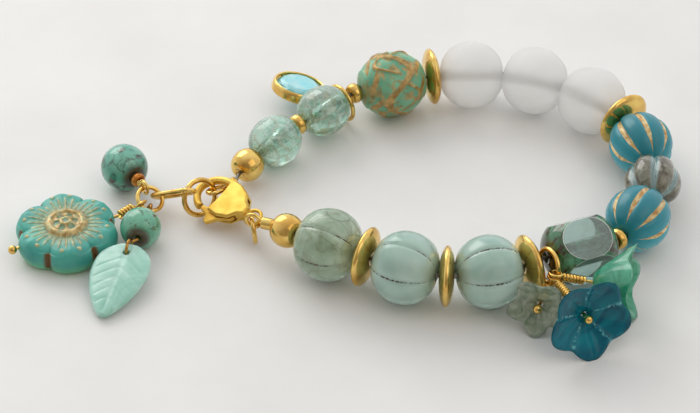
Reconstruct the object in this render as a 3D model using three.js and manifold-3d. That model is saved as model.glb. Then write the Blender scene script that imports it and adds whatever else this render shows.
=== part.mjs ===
// A beaded bracelet: glass beads and gold-coloured metal on a beading wire, closed by a lobster clasp,
// with a short extender that carries three charms, a cluster of bell flowers and a channel-set stone.
// Millimetres, +Z up. The bracelet lies on a table, the plane z = 0, and the origin is the centre of
// the base of its bounding box.
import * as THREE from 'three';
import { mergeVertices } from 'three/addons/utils/BufferGeometryUtils.js';
import Module from 'manifold-3d';

const wasm = await Module();
wasm.setup();

// ---------------------------------------------------------------- driving dimensions

const GAP = 0.3;                 // clear gap between pieces that touch
const BEND_ROOM = 0.009;         // extra gap for each degree that the strand turns between two beads
const BORE_RADIUS = 0.9;         // drilled hole of every strung bead
const BEADING_WIRE_RADIUS = 0.3;
const PIN_WIRE_RADIUS = 0.29;    // head pins and eye pins
const PIN_BALL_RADIUS = 0.75;
const PIN_COIL_RADIUS = 0.5;     // the turns of wire that close a pin's loop
const COIL_MOST = 3.6;           // longest run of those turns
const PIN_LOOP_RADIUS = 1.1;     // to the middle of the wire
const PIN_HOLE_RADIUS = 0.6;     // hole of a bead that sits on a pin
const CRIMP = { length: 1.8, outer: 1.02, inner: 0.7 };
const GUARD = { tube: 0.38, bend: 1.17, legSpread: 0.5 };

// Strung bead kinds: overall diameter across the hole and length along it.
const BEAD_SIZES = {
  gold_bead: { diameter: 5.7, length: 4.8 },
  melon_bead: { diameter: 12.0, length: 10.5 },
  gold_disc: { diameter: 10.0, length: 2.5 },
  faceted_bead: { diameter: 11.8, length: 12.0 },
  gold_spacer: { diameter: 3.6, length: 1.8 },
  teal_melon_bead: { diameter: 10.8, length: 10.6 },
  fluted_bead: { diameter: 9.6, length: 9.2 },
  frosted_bead: { diameter: 11.9, length: 11.0 },
  relief_bead: { diameter: 12.0, length: 11.7 },
  crackle_bead: { diameter: 8.8, length: 8.7 },
};

// The strand, in order from the clasp's tail round to its hook. heading is the direction of the bead's
// hole in the table's plane, in degrees from +X; height is the hole's height above the table; slack is
// extra room on the wire before the bead, where a jump ring hangs.
const STRAND_START = { x: -10.35, y: -12.6 };
const STRAND = [
  { name: 'gold_bead_1', kind: 'gold_bead', heading: -42, height: 5.4, slack: 0 },
  { name: 'melon_bead_1', kind: 'melon_bead', heading: -27, height: 6.0, slack: 0 },
  { name: 'gold_disc_1', kind: 'gold_disc', heading: -26, height: 6.1, slack: 0 },
  { name: 'melon_bead_2', kind: 'melon_bead', heading: -21, height: 6.0, slack: 0 },
  { name: 'gold_disc_2', kind: 'gold_disc', heading: -4, height: 6.0, slack: 0 },
  { name: 'melon_bead_3', kind: 'melon_bead', heading: 13, height: 6.0, slack: 0 },
  { name: 'gold_disc_3', kind: 'gold_disc', heading: 23, height: 5.9, slack: 0 },
  { name: 'faceted_bead', kind: 'faceted_bead', heading: 23, height: 5.9, slack: 1.4 },
  { name: 'gold_spacer_1', kind: 'gold_spacer', heading: 38, height: 5.7, slack: 0 },
  { name: 'teal_melon_bead_1', kind: 'teal_melon_bead', heading: 59, height: 5.4, slack: 0 },
  { name: 'fluted_bead', kind: 'fluted_bead', heading: 83, height: 5.2, slack: 0 },
  { name: 'teal_melon_bead_2', kind: 'teal_melon_bead', heading: 107, height: 5.4, slack: 0 },
  { name: 'gold_disc_4', kind: 'gold_disc', heading: 124, height: 5.8, slack: 0 },
  { name: 'frosted_bead_1', kind: 'frosted_bead', heading: 138, height: 6.0, slack: 0 },
  { name: 'frosted_bead_2', kind: 'frosted_bead', heading: 160, height: 6.0, slack: 0 },
  { name: 'frosted_bead_3', kind: 'frosted_bead', heading: 182, height: 6.0, slack: 0 },
  { name: 'gold_disc_5', kind: 'gold_disc', heading: 192, height: 6.0, slack: 0 },
  { name: 'relief_bead', kind: 'relief_bead', heading: 199, height: 6.05, slack: 0 },
  { name: 'gold_spacer_2', kind: 'gold_spacer', heading: 217, height: 6.0, slack: 0 },
  { name: 'crackle_bead_1', kind: 'crackle_bead', heading: 218, height: 5.3, slack: 1.3 },
  { name: 'gold_spacer_3', kind: 'gold_spacer', heading: 221, height: 5.0, slack: 0 },
  { name: 'crackle_bead_2', kind: 'crackle_bead', heading: 227, height: 4.5, slack: 0 },
  { name: 'gold_bead_2', kind: 'gold_bead', heading: 235, height: 3.6, slack: 0 },
];

// ---------------------------------------------------------------- materials

const FINISHES = {
  gold: { color: 0xd9a93e, metalness: 1, roughness: 0.2 },
  satin_gold: { color: 0xe6be4a, metalness: 1, roughness: 0.4 },
  steel_wire: { color: 0x9a9a98, metalness: 1, roughness: 0.4 },
  sea_green_glass: { color: 0x8fb5a6, metalness: 0, roughness: 0.3 },
  speckled_green_glass: { color: 0x4f8a6e, metalness: 0, roughness: 0.1 },
  matte_teal_glass: { color: 0x2f9aa6, metalness: 0, roughness: 0.5 },
  bronze_glass: { color: 0x6a6454, metalness: 0.2, roughness: 0.15 },
  frosted_glass: { color: 0xedefef, metalness: 0, roughness: 0.6 },
  patina_glass: { color: 0x6fae8e, metalness: 0, roughness: 0.45 },
  crackle_glass: { color: 0xa5cfc6, metalness: 0, roughness: 0.15 },
  coin_glass: { color: 0x3e9d8c, metalness: 0, roughness: 0.5 },
  turquoise_glass: { color: 0x4f9a80, metalness: 0, roughness: 0.15 },
  leaf_glass: { color: 0xa9d6c8, metalness: 0, roughness: 0.35 },
  smoky_glass: { color: 0x7a8e80, metalness: 0, roughness: 0.15 },
  blue_glass: { color: 0x0a7a9a, metalness: 0, roughness: 0.1 },
  opaque_green_glass: { color: 0x58b897, metalness: 0, roughness: 0.2 },
  aqua_crystal: { color: 0x8fe6f2, metalness: 0, roughness: 0.05 },
};

const materials = {};
for (const [name, finish] of Object.entries(FINISHES)) {
  materials[name] = new THREE.MeshStandardMaterial({ name, ...finish });
}

// ---------------------------------------------------------------- small helpers

const vector = (x, y, z) => new THREE.Vector3(x, y, z);
const radians = THREE.MathUtils.degToRad;
const Z_AXIS = vector(0, 0, 1);
const TURN = 2 * Math.PI;

// A direction in the table's plane.
function headingVector(degrees) {
  return vector(Math.cos(radians(degrees)), Math.sin(radians(degrees)), 0);
}

// A matrix that puts local +Z on the given axis and local +X as near to `side` as it can be.
function frameAt(origin, axis, side = Z_AXIS) {
  const z = axis.clone().normalize();
  const x = side.clone().addScaledVector(z, -side.dot(z));
  if (x.length() < 1e-3) {
    x.set(1, 0, 0).addScaledVector(z, -z.x);
  }
  x.normalize();
  const y = z.clone().cross(x);
  return new THREE.Matrix4().makeBasis(x, y, z).setPosition(origin);
}

function toSolid(geometry) {
  const bare = geometry.index ? geometry.toNonIndexed() : geometry.clone();
  bare.deleteAttribute('normal');
  bare.deleteAttribute('uv');
  const merged = mergeVertices(bare, 1e-4);
  return new wasm.Manifold(new wasm.Mesh({
    numProp: 3,
    vertProperties: Float32Array.from(merged.attributes.position.array),
    triVerts: Uint32Array.from(merged.index.array),
  }));
}

function toGeometry(solid) {
  const mesh = solid.getMesh();
  const geometry = new THREE.BufferGeometry();
  geometry.setAttribute('position', new THREE.BufferAttribute(Float32Array.from(mesh.vertProperties), 3));
  geometry.setIndex(Array.from(mesh.triVerts));
  return geometry;
}

// Joins geometries that overlap into one solid geometry.
function join(...geometries) {
  return toGeometry(geometries.map(toSolid).reduce((whole, piece) => whole.add(piece)));
}

// Cuts every tool out of a geometry.
function cut(geometry, ...tools) {
  return toGeometry(tools.map(toSolid).reduce((whole, tool) => whole.subtract(tool), toSolid(geometry)));
}

// A cylinder between two points.
function rod(start, end, radius, sides = 8) {
  const along = end.clone().sub(start);
  const geometry = new THREE.CylinderGeometry(radius, radius, along.length(), sides);
  geometry.rotateX(Math.PI / 2);
  return geometry.applyMatrix4(frameAt(start.clone().addScaledVector(along, 0.5), along));
}

function ball(centre, radius, across = 8, rows = 6) {
  return new THREE.SphereGeometry(radius, across, rows).translate(centre.x, centre.y, centre.z);
}

// A round wire ring about `axis`.
function wireRing(centre, axis, ringRadius, wireRadius, around = 14, sides = 6) {
  return new THREE.TorusGeometry(ringRadius, wireRadius, sides, around).applyMatrix4(frameAt(centre, axis));
}

// A turned body about local +Z from a closed outline of [radius, height] rows; `shape` moves each point.
function turned(outline, segments, shape = null) {
  const closed = [...outline, outline[0]].map(([r, z]) => new THREE.Vector2(r, z));
  const geometry = new THREE.LatheGeometry(closed, segments);
  geometry.rotateX(Math.PI / 2);
  return shape ? reshape(geometry, shape) : geometry;
}

// Moves every point: shape(radius, angle, height) gives the new [radius, height].
function reshape(geometry, shape) {
  const points = geometry.attributes.position;
  const tooNearAxis = 1e-6;
  for (let i = 0; i < points.count; i += 1) {
    const x = points.getX(i);
    const y = points.getY(i);
    const radius = Math.hypot(x, y);
    if (radius > tooNearAxis) {
      const angle = Math.atan2(y, x);
      const [newRadius, newHeight] = shape(radius, angle, points.getZ(i));
      points.setXYZ(i, Math.cos(angle) * newRadius, Math.sin(angle) * newRadius, newHeight);
    }
  }
  return geometry;
}

// How far an angle lies from the middle of its lobe: 0 in the middle, 1 in the groove.
function towardsGroove(angle, lobes) {
  const step = (((angle / TURN) * lobes) % 1 + 1) % 1;
  return Math.abs(step - 0.5) * 2;
}

// ---------------------------------------------------------------- strung beads, hole along local Z

// The outline of a drilled bead whose sides bulge as a superellipse: power 2 is round, more is boxier.
function beadOutline({ diameter, length }, { rows, power, bore = BORE_RADIUS }) {
  const outer = [];
  for (let row = 0; row <= rows; row += 1) {
    const t = -1 + (2 * row) / rows;
    const height = Math.sin((t * Math.PI) / 2);
    const bulge = (1 - Math.abs(height) ** power) ** (1 / power);
    const radius = bore + 0.25 + (diameter / 2 - bore - 0.25) * bulge;
    outer.push([radius, (height * length) / 2]);
  }
  return [[bore, -length / 2], ...outer, [bore, length / 2]];
}

function plainBead(size, { sides = 16, rows = 6, power = 2.1 } = {}) {
  return turned(beadOutline(size, { rows, power }), sides);
}

// A melon bead: grooves run from hole to hole.
function melonBead(size, { lobes, depth, perLobe, rows, power }) {
  const shape = (radius, angle, height) => {
    const groove = towardsGroove(angle, lobes) ** 3;
    const share = Math.min(1, Math.max(0, (radius - BORE_RADIUS) / (size.diameter / 2 - BORE_RADIUS)));
    return [radius - depth * groove * share, height];
  };
  return turned(beadOutline(size, { rows, power }), lobes * perLobe, shape);
}

// A lens-shaped disc with a rounded rim.
function discBead({ diameter, length }) {
  const rim = diameter / 2;
  const half = length / 2;
  return turned([
    [BORE_RADIUS, -half], [1.6, -half], [rim * 0.65, -half * 0.74], [rim * 0.9, -half * 0.42], [rim, 0],
    [rim * 0.9, half * 0.42], [rim * 0.65, half * 0.74], [1.6, half], [BORE_RADIUS, half],
  ], 14);
}

// A small ring-shaped spacer.
function spacerBead({ diameter, length }) {
  const rim = diameter / 2;
  const half = length / 2;
  return turned([
    [BORE_RADIUS, -half * 0.7], [1.25, -half], [rim * 0.86, -half * 0.72], [rim, 0],
    [rim * 0.86, half * 0.72], [1.25, half], [BORE_RADIUS, half * 0.7],
  ], 10);
}

// A large polished bead with a ring of broad flat windows cut round it.
const WINDOWS = { count: 5, depth: 1.2, turn: 30 };

function windowCutBead(size, { count, depth, turn }) {
  const reach = size.diameter;
  const face = size.diameter / 2 - depth;
  const tools = [];
  for (let i = 0; i < count; i += 1) {
    const out = headingVector(turn + (360 * i) / count);
    const box = new THREE.BoxGeometry(reach, reach, reach * 2);
    box.applyMatrix4(frameAt(out.clone().multiplyScalar(face + reach), out));
    tools.push(box);
  }
  return cut(plainBead(size, { sides: 18, power: 2.15 }), ...tools);
}

// A round bead with a raised band that winds round it between two raised rims.
function reliefBead(size) {
  const amplitude = size.length * 0.21;
  const bandHalf = 1.15;
  const raised = 0.35;
  const shape = (radius, angle, height) => {
    const share = radius / (size.diameter / 2);
    const wave = amplitude * Math.sin(3 * angle);
    const near = Math.max(0, 1 - Math.abs(height - wave) / bandHalf);
    const lift = share > 0.6 ? raised * Math.min(1, near * 1.6) : 0;
    return [radius - (share > 0.6 ? raised : 0) + lift, height];
  };
  return turned(beadOutline(size, { rows: 12, power: 2.05 }), 28, shape);
}

const BEAD_KINDS = {
  gold_bead: { finish: 'gold', make: (size) => plainBead(size, { sides: 12, rows: 6, power: 2 }) },
  melon_bead: {
    finish: 'sea_green_glass',
    make: (size) => melonBead(size, { lobes: 6, depth: 0.35, perLobe: 4, rows: 6, power: 2.05 }),
  },
  gold_disc: { finish: 'gold', make: discBead },
  faceted_bead: { finish: 'speckled_green_glass', make: (size) => windowCutBead(size, WINDOWS) },
  gold_spacer: { finish: 'gold', make: spacerBead },
  teal_melon_bead: {
    finish: 'matte_teal_glass',
    make: (size) => melonBead(size, { lobes: 8, depth: 0.9, perLobe: 3, rows: 6, power: 2 }),
  },
  fluted_bead: {
    finish: 'bronze_glass',
    make: (size) => melonBead(size, { lobes: 6, depth: 1.2, perLobe: 4, rows: 6, power: 2 }),
  },
  frosted_bead: { finish: 'frosted_glass', make: (size) => plainBead(size, { rows: 6, power: 2 }) },
  relief_bead: { finish: 'patina_glass', make: reliefBead },
  crackle_bead: {
    finish: 'crackle_glass',
    make: (size) => plainBead(size, { sides: 14, rows: 6, power: 2 }),
  },
};

// ---------------------------------------------------------------- the group and how pieces join it

const bracelet = new THREE.Group();
bracelet.name = 'beaded_bracelet';

// Adds a geometry modelled about local axes, placed by a matrix.
function addPiece(name, geometry, finish, matrix = new THREE.Matrix4()) {
  const mesh = new THREE.Mesh(geometry, materials[finish]);
  mesh.name = name;
  mesh.applyMatrix4(matrix);
  bracelet.add(mesh);
  return mesh;
}

// Walks the strand: hole end to hole end, with a gap (and any slack) between neighbours.
function layStrand() {
  const laid = [];
  let previous = null;
  for (const row of STRAND) {
    const { length } = BEAD_SIZES[row.kind];
    const along = headingVector(row.heading);
    const centre = vector(STRAND_START.x, STRAND_START.y, row.height);
    if (previous) {
      const between = previous.along.clone().add(along).normalize();
      centre.copy(previous.centre)
        .addScaledVector(previous.along, previous.length / 2)
        .addScaledVector(between, GAP + BEND_ROOM * Math.abs(row.heading - previous.heading) + row.slack)
        .addScaledVector(along, length / 2);
      centre.z = row.height;
    }
    previous = { ...row, centre, along, length };
    laid.push(previous);
  }
  // Each hole tips up or down towards its neighbours' heights.
  laid.forEach((bead, i) => {
    const before = laid[Math.max(0, i - 1)];
    const after = laid[Math.min(laid.length - 1, i + 1)];
    const run = Math.hypot(after.centre.x - before.centre.x, after.centre.y - before.centre.y);
    bead.axis = bead.along.clone();
    bead.axis.z = (after.centre.z - before.centre.z) / run;
    bead.axis.normalize();
  });
  return laid;
}

const strand = layStrand();
const beadNamed = Object.fromEntries(strand.map((bead) => [bead.name, bead]));

for (const bead of strand) {
  const kind = BEAD_KINDS[bead.kind];
  addPiece(bead.name, kind.make(BEAD_SIZES[bead.kind]), kind.finish, frameAt(bead.centre, bead.axis));
}

// A point on a bead's hole: -1 is where the wire goes in, 1 where it comes out.
function holePoint(bead, end, beyond = 0) {
  return bead.centre.clone().addScaledVector(bead.axis, end * (bead.length / 2 + beyond));
}

// ---------------------------------------------------------------- strand ends: crimps and wire guards

// A wire guard: a bent tube that lines the end loop, from its legs at the crimp round its bend.
function wireGuard(toCrimp) {
  const { tube, bend, legSpread } = GUARD;
  const leg = toCrimp - CRIMP.length / 2 - 1.4 * GAP;
  const points = [vector(leg, legSpread, 0), vector(leg * 0.45, bend * 0.95, 0)];
  const turns = 6;
  for (let i = 0; i <= turns; i += 1) {
    const angle = Math.PI / 2 + (Math.PI * i) / turns;
    points.push(vector(Math.cos(angle) * bend, Math.sin(angle) * bend, 0));
  }
  points.push(vector(leg * 0.45, -bend * 0.95, 0), vector(leg, -legSpread, 0));
  return tubeAlong(points, tube, 16, 6);
}

// A round tube along a smooth open path.
function tubeAlong(points, radius, steps, sides) {
  const corners = [];
  for (let i = 0; i < sides; i += 1) {
    const angle = (TURN * i) / sides;
    corners.push(new THREE.Vector2(Math.cos(angle) * radius, Math.sin(angle) * radius));
  }
  const section = new THREE.Shape(corners);
  return new THREE.ExtrudeGeometry(section, {
    steps, bevelEnabled: false, curveSegments: 1, extrudePath: new THREE.CatmullRomCurve3(points),
  });
}

// Each end: the middle of the guard's bend, the way its legs point, the axis of its loop, and how far
// its crimp tube lies from the loop.
const STRAND_ENDS = [
  {
    end: 'front', loop: vector(-16.0, -9.8, 5.2), legs: vector(0.93, -0.36, 0.03),
    loopAxis: vector(0.2, 0.6, 0), toCrimp: 2.55,
  },
  {
    end: 'back', loop: vector(-22.89, 0.01, 3.4), legs: vector(0.705, 0.691, -0.161),
    loopAxis: vector(-0.138, 0.356, 0.924), toCrimp: 3.75,
  },
];

function crimpTube({ length, outer, inner }) {
  const half = length / 2;
  return turned([[inner, -half], [outer, -half], [outer, half], [inner, half]], 12);
}

const crimps = {};
for (const { end, loop, legs, loopAxis, toCrimp } of STRAND_ENDS) {
  const out = legs.clone().normalize();
  const centre = loop.clone().addScaledVector(out, toCrimp);
  crimps[end] = { centre, mouth: centre.clone().addScaledVector(out, CRIMP.length / 2 + GAP / 2) };
  addPiece(`crimp_tube_${end}`, crimpTube(CRIMP), 'gold', frameAt(centre, out));
  const axis = loopAxis.clone().addScaledVector(out, -loopAxis.dot(out)).normalize();
  addPiece(`wire_guard_${end}`, wireGuard(toCrimp), 'gold', frameAt(loop, axis, out));
}

// The beading wire runs through every bead, from inside one crimp to inside the other.
function beadingWire() {
  const { front, back } = crimps;
  const points = [front.centre, front.mouth];
  for (const bead of strand) {
    points.push(holePoint(bead, -1), holePoint(bead, 1));
  }
  points.push(back.mouth, back.centre);
  return tubeAlong(points, BEADING_WIRE_RADIUS, 54, 6);
}

addPiece('beading_wire', beadingWire(), 'steel_wire');

// ---------------------------------------------------------------- jump rings and the extender link

const RINGS = [
  {
    name: 'clasp_jump_ring', centre: vector(-16.0, -9.4, 3.05), axis: vector(-0.985, -0.13, -0.09),
    radius: 2.2, wire: 0.4,
  },
  {
    name: 'hook_ring', centre: vector(-25.3, -1.78, 3.5), axis: vector(0.567, -0.742, 0.357),
    radius: 3.0, wire: 0.45,
  },
  {
    name: 'charm_ring', centre: vector(-33.66, -2.08, 3.4), axis: vector(0.405, -0.34, 0.849),
    radius: 2.2, wire: 0.38,
  },
  {
    name: 'flower_ring', centre: vector(31.92, -22.46, 6.33), axis: vector(-0.877, -0.435, 0.204),
    radius: 2.8, wire: 0.43,
  },
];

for (const ring of RINGS) {
  addPiece(ring.name, wireRing(ring.centre, ring.axis, ring.radius, ring.wire), 'gold');
}

// An oval link: a wire ring whose two halves are moved apart along local X, which leaves straight sides.
const OVAL_LINK = {
  centre: vector(-29.7, -1.68, 4.23), along: vector(0.835, -0.334, 0.438),
  axis: vector(0.045, -0.752, -0.658), straight: 5.28, bend: 1.38, wire: 0.45,
};

function ovalLink({ straight, bend, wire }) {
  const geometry = new THREE.TorusGeometry(bend, wire, 6, 14);
  const points = geometry.attributes.position;
  for (let i = 0; i < points.count; i += 1) {
    points.setX(i, points.getX(i) + Math.sign(points.getX(i)) * straight / 2);
  }
  return geometry;
}

const linkPlace = frameAt(OVAL_LINK.centre, OVAL_LINK.axis, OVAL_LINK.along);
addPiece('oval_link', ovalLink(OVAL_LINK), 'gold', linkPlace);

// ---------------------------------------------------------------- lobster clasp
// Local frame: origin at the middle of its tail eye, +X to the nose, +Z out of its upper cheek.

const CLASP = {
  origin: vector(-16.1, -7.35, 3.81),
  nose: vector(-0.723, 0.689, -0.047),
  up: vector(-0.267, -0.216, 0.939),
  eyeRadius: 1.42, eyeWire: 0.36,
  cheekHalf: 1.3, slotHalf: 0.7,
  hookWire: 0.72, cheekBevel: 0.35,
  pivot: { x: 3.9, y: 1.9, pin: 0.35, bore: 0.65, boss: 1.05 },
  lever: { half: 0.4, tip: 9.35 },
};

// The cheeks taper to the neck behind the eye and end square at the opening of the hook.
const CHEEK_OUTLINE = [
  [1.25, -0.75], [2.3, -1.3], [3.3, -2.7], [5.4, -3.55], [8.0, -3.75], [7.75, -2.6], [7.55, -1.2],
  [7.55, 1.4], [7.7, 3.3], [5.4, 3.45], [3.3, 2.7], [2.3, 1.3], [1.25, 0.75],
];

// The hook, from the back of the cheeks round the nose to its tip beside the lever.
const HOOK_PATH = [
  [6.6, -3.15], [8.5, -3.25], [9.8, -3.05], [11.0, -2.45], [11.9, -1.55], [12.5, -0.45],
  [12.55, 0.5], [12.2, 1.4], [11.5, 2.2], [10.65, 2.85], [9.85, 3.15],
].map(([x, y]) => vector(x, y, 0));

function flatPlate(outline, half) {
  const shape = new THREE.Shape(outline.map(([x, y]) => new THREE.Vector2(x, y)));
  return new THREE.ExtrudeGeometry(shape, { depth: half * 2, bevelEnabled: false }).translate(0, 0, -half);
}

// Two cheeks with a slot between them, the hook, the eye and the pin that the lever turns on.
function claspBody() {
  const { cheekHalf, cheekBevel, slotHalf, pivot, eyeRadius, eyeWire, hookWire } = CLASP;
  const shape = new THREE.Shape(CHEEK_OUTLINE.map(([x, y]) => new THREE.Vector2(x, y)));
  const flatHalf = cheekHalf - cheekBevel;
  const cheeks = new THREE.ExtrudeGeometry(shape, {
    depth: 2 * flatHalf, bevelThickness: cheekBevel, bevelSize: 0.25, bevelOffset: -0.25, bevelSegments: 1,
  }).translate(0, 0, -flatHalf);
  const slot = new THREE.BoxGeometry(6.4, 8.6, slotHalf * 2).translate(5.8, 2.1, 0);
  const hook = tubeAlong(HOOK_PATH, hookWire, 14, 8);
  const eye = new THREE.TorusGeometry(eyeRadius, eyeWire, 6, 14);
  const pinHalf = cheekHalf - 0.2;
  const pin = rod(vector(pivot.x, pivot.y, -pinHalf), vector(pivot.x, pivot.y, pinHalf), pivot.pin);
  return join(cut(join(cheeks, hook), slot), eye, pin);
}

// The lever's arm closes the hook, and its thumb nub stands outside the cheeks.
const LEVER_OUTLINE = [
  [3.7, 1.3], [6.0, 2.2], [8.6, 2.65], [CLASP.lever.tip, 2.75], [CLASP.lever.tip, 3.5], [8.2, 3.75],
  [7.6, 4.1], [7.2, 5.1], [6.5, 5.25], [5.9, 4.6], [5.4, 3.95], [3.6, 2.7],
];

function claspLever() {
  const { pivot, lever } = CLASP;
  const plateEnd = (side) => vector(pivot.x, pivot.y, side * lever.half);
  const boss = rod(plateEnd(-1), plateEnd(1), pivot.boss, 12);
  const arm = flatPlate(LEVER_OUTLINE, lever.half);
  const bore = rod(plateEnd(-2), plateEnd(2), pivot.bore, 12);
  return cut(join(boss, arm), bore);
}

const claspPlace = frameAt(CLASP.origin, CLASP.up, CLASP.nose);
addPiece('clasp_body', claspBody(), 'satin_gold', claspPlace);
addPiece('clasp_lever', claspLever(), 'satin_gold', claspPlace);

// ---------------------------------------------------------------- pins

// A pin: a wire loop at local origin, its stem along +Z. The wire's tail is wound round the stem, from
// the loop as far as `wound`, and the pin ends at `reach` in a ball, or plainly.
function pin({ loop = PIN_LOOP_RADIUS, wound = 0, reach, headed = true }) {
  const wire = PIN_WIRE_RADIUS;
  const parts = [new THREE.TorusGeometry(loop, wire, 6, 14).rotateY(Math.PI / 2)];
  parts.push(rod(vector(0, 0, loop - 0.1), vector(0, 0, reach), wire, 6));
  if (wound > 0) {
    parts.push(rod(vector(0, 0, loop), vector(0, 0, loop + wound), PIN_COIL_RADIUS));
  }
  if (headed) {
    parts.push(ball(vector(0, 0, reach), PIN_BALL_RADIUS));
  }
  return join(...parts);
}

// Fills the outer side of the bend where two straight runs of pin wire meet.
function kneeAt(point) {
  return ball(point, PIN_WIRE_RADIUS * 1.05);
}

// ---------------------------------------------------------------- bell flowers on the flower ring

// Each flower: loop is where its pin holds the ring, hole the back end of its hole and facing the way that
// its mouth opens, which may lean off the pin by the play in the hole. depth runs from the hole to the rim,
// notch is how deep the rim is cut between petals.
const FLOWERS = [
  {
    name: 'star_flower', finish: 'smoky_glass', loop: vector(32.12, -23.75, 3.85),
    hole: vector(30.36, -28.65, 4.12), facing: vector(-0.272, -0.915, 0.299),
    loopAxis: vector(0.9, -0.29, 0.28), radius: 5.05, depth: 2.8, notch: 0.24, flare: 1.3,
  },
  {
    name: 'blue_flower', finish: 'blue_glass', loop: vector(32.74, -24.96, 5.71),
    hole: vector(36.51, -32.99, 5.94), facing: vector(0.331, -0.909, 0.255),
    loopAxis: vector(0.133, 0.204, 0.97), radius: 6.9, depth: 3.4, notch: 0.22, flare: 1.2,
  },
  {
    name: 'bell_flower', finish: 'opaque_green_glass', loop: vector(32.92, -24.93, 6.54),
    hole: vector(38.87, -26.16, 6.1), facing: vector(0.976, -0.19, 0.105),
    loopAxis: vector(0.093, 0.193, 0.977), radius: 6.7, depth: 6.8, notch: 0.2, flare: 1.15,
  },
];
const PETALS = { count: 5, steps: 5, wall: 0.9, back: 1.5 };

// A bell of five round petals, hole at the local origin, mouth towards +Z. Its wall thins towards the rim,
// and the rim is cut in between the petals.
function bellFlower({ radius, depth, notch, flare }) {
  const { count, steps, wall, back } = PETALS;
  const outside = (share) => back + (radius - back) * share ** (1 / flare);
  const outer = [0, 0.14, 0.5, 1].map((share) => [outside(share), depth * share]);
  const inner = [1, 0.5, 0.14].map((share) => {
    const thickness = wall * (1.2 - 0.7 * share);
    const height = wall + (depth - wall) * share;
    return [Math.max(wall, outside(share) - thickness), Math.min(depth * 0.97, height)];
  });
  const outline = [[PIN_HOLE_RADIUS, 0], ...outer, ...inner, [PIN_HOLE_RADIUS, wall]];
  const shape = (r, angle, height) => {
    const valley = (1 - Math.cos(Math.PI * towardsGroove(angle, count))) / 2;
    const cutIn = notch * valley * Math.max(0, height / depth) ** 2;
    return [r > back / 2 ? r * (1 - cutIn) : r, height * (1 - cutIn * 0.8)];
  };
  return turned(outline, count * steps, shape);
}

for (const flower of FLOWERS) {
  const facing = flower.facing.clone().normalize();
  const inHole = flower.hole.clone().addScaledVector(facing, PETALS.wall / 2);
  const stem = inHole.sub(flower.loop);
  const toHole = stem.length();
  addPiece(flower.name, bellFlower(flower), flower.finish, frameAt(flower.hole, facing));
  const wound = Math.min(COIL_MOST, toHole - PETALS.wall / 2 - PIN_LOOP_RADIUS - 2 * GAP);
  const reach = toHole + PETALS.wall / 2 + 1.3 * GAP + PIN_BALL_RADIUS;
  const pinPlace = frameAt(flower.loop, stem, flower.loopAxis);
  addPiece(`${flower.name}_pin`, pin({ wound, reach }), 'gold', pinPlace);
}

// ---------------------------------------------------------------- charms on the charm ring

// Charm 1: a round bead with a gold cap on a headed pin.
const CAPPED_CHARM = {
  loop: vector(-34.4, -0.3, 4.47), stem: vector(-0.569, 0.82, -0.058),
  loopAxis: vector(-0.809, -0.546, 0.217), toBead: 7.19, bead: 8.0, capLength: 1.2, loopRadius: 1.05,
};
const HOLE_SHARE = 0.46;         // half the length of a pin bead's hole, as a share of its diameter

// A round bead drilled for a pin.
function pinBead(diameter, holeHalf) {
  const size = { diameter, length: holeHalf * 2 };
  return turned(beadOutline(size, { rows: 6, power: 2, bore: PIN_HOLE_RADIUS }), 16);
}

function cappedCharm({ loop, stem, loopAxis, toBead, bead, capLength, loopRadius }) {
  const at = (distance) => frameAt(loop.clone().addScaledVector(stem, distance), stem, loopAxis);
  const holeHalf = bead * HOLE_SHARE;
  addPiece('capped_bead', pinBead(bead, holeHalf), 'turquoise_glass', at(toBead));
  const capAt = toBead - holeHalf - GAP - capLength / 2;
  const cap = turned([[PIN_HOLE_RADIUS, -capLength / 2], [0.95, -capLength / 2], [1.25, -capLength * 0.2],
    [1.2, capLength / 2], [PIN_HOLE_RADIUS, capLength / 2]], 12);
  addPiece('bead_cap', cap, 'gold', at(capAt));
  const wound = capAt - capLength / 2 - GAP - loopRadius;
  const reach = toBead + holeHalf + GAP + PIN_BALL_RADIUS;
  addPiece('capped_bead_pin', pin({ loop: loopRadius, wound, reach }), 'gold', at(0));
}

cappedCharm(CAPPED_CHARM);

// Charm 2: a flower coin that lies flat, pinned through its width.
const COIN = {
  centre: vector(-47.0, -9.75, 0), radius: 8.75, thickness: 5.4, petals: 6, notch: 1.2, turn: 12,
  holeHeight: 2.6, holeHeading: 207.5,
};
const COIN_PIN = {
  loop: vector(-35.35, -3.47, 3.65), loopAxis: vector(0.562, -0.659, -0.5), loopRadius: 1.05,
  clear: 0.4, turnsEnd: 0.2,
};

// A round-edged coin of six petals with a ridge down each petal and a raised boss inside a raised ring.
function flowerCoin({ radius, thickness, petals, notch }) {
  const rim = [
    [0, 0], [radius - 1.2, 0], [radius - 0.3, 1.0], [radius, 2.4], [radius - 0.4, 3.9], [radius - 1.4, 4.7],
    [radius - 3.4, 4.75],
  ];
  const boss = [
    [3.7, 4.55], [3.3, thickness - 0.35], [2.6, thickness - 0.1], [2.2, 4.9], [1.5, 5.0], [0.8, thickness],
    [0, thickness],
  ];
  const shape = (r, angle, height) => {
    const groove = towardsGroove(angle, petals);
    const share = Math.min(1, Math.max(0, (r - 3.6) / (radius - 3.6)));
    const dip = height > 4.0 ? (0.55 * groove ** 2 - 0.35 * Math.max(0, 1 - groove * 3)) * share : 0;
    return [r - notch * groove ** 3 * share, height - dip];
  };
  return turned([...rim, ...boss], petals * 5, shape);
}

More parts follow.
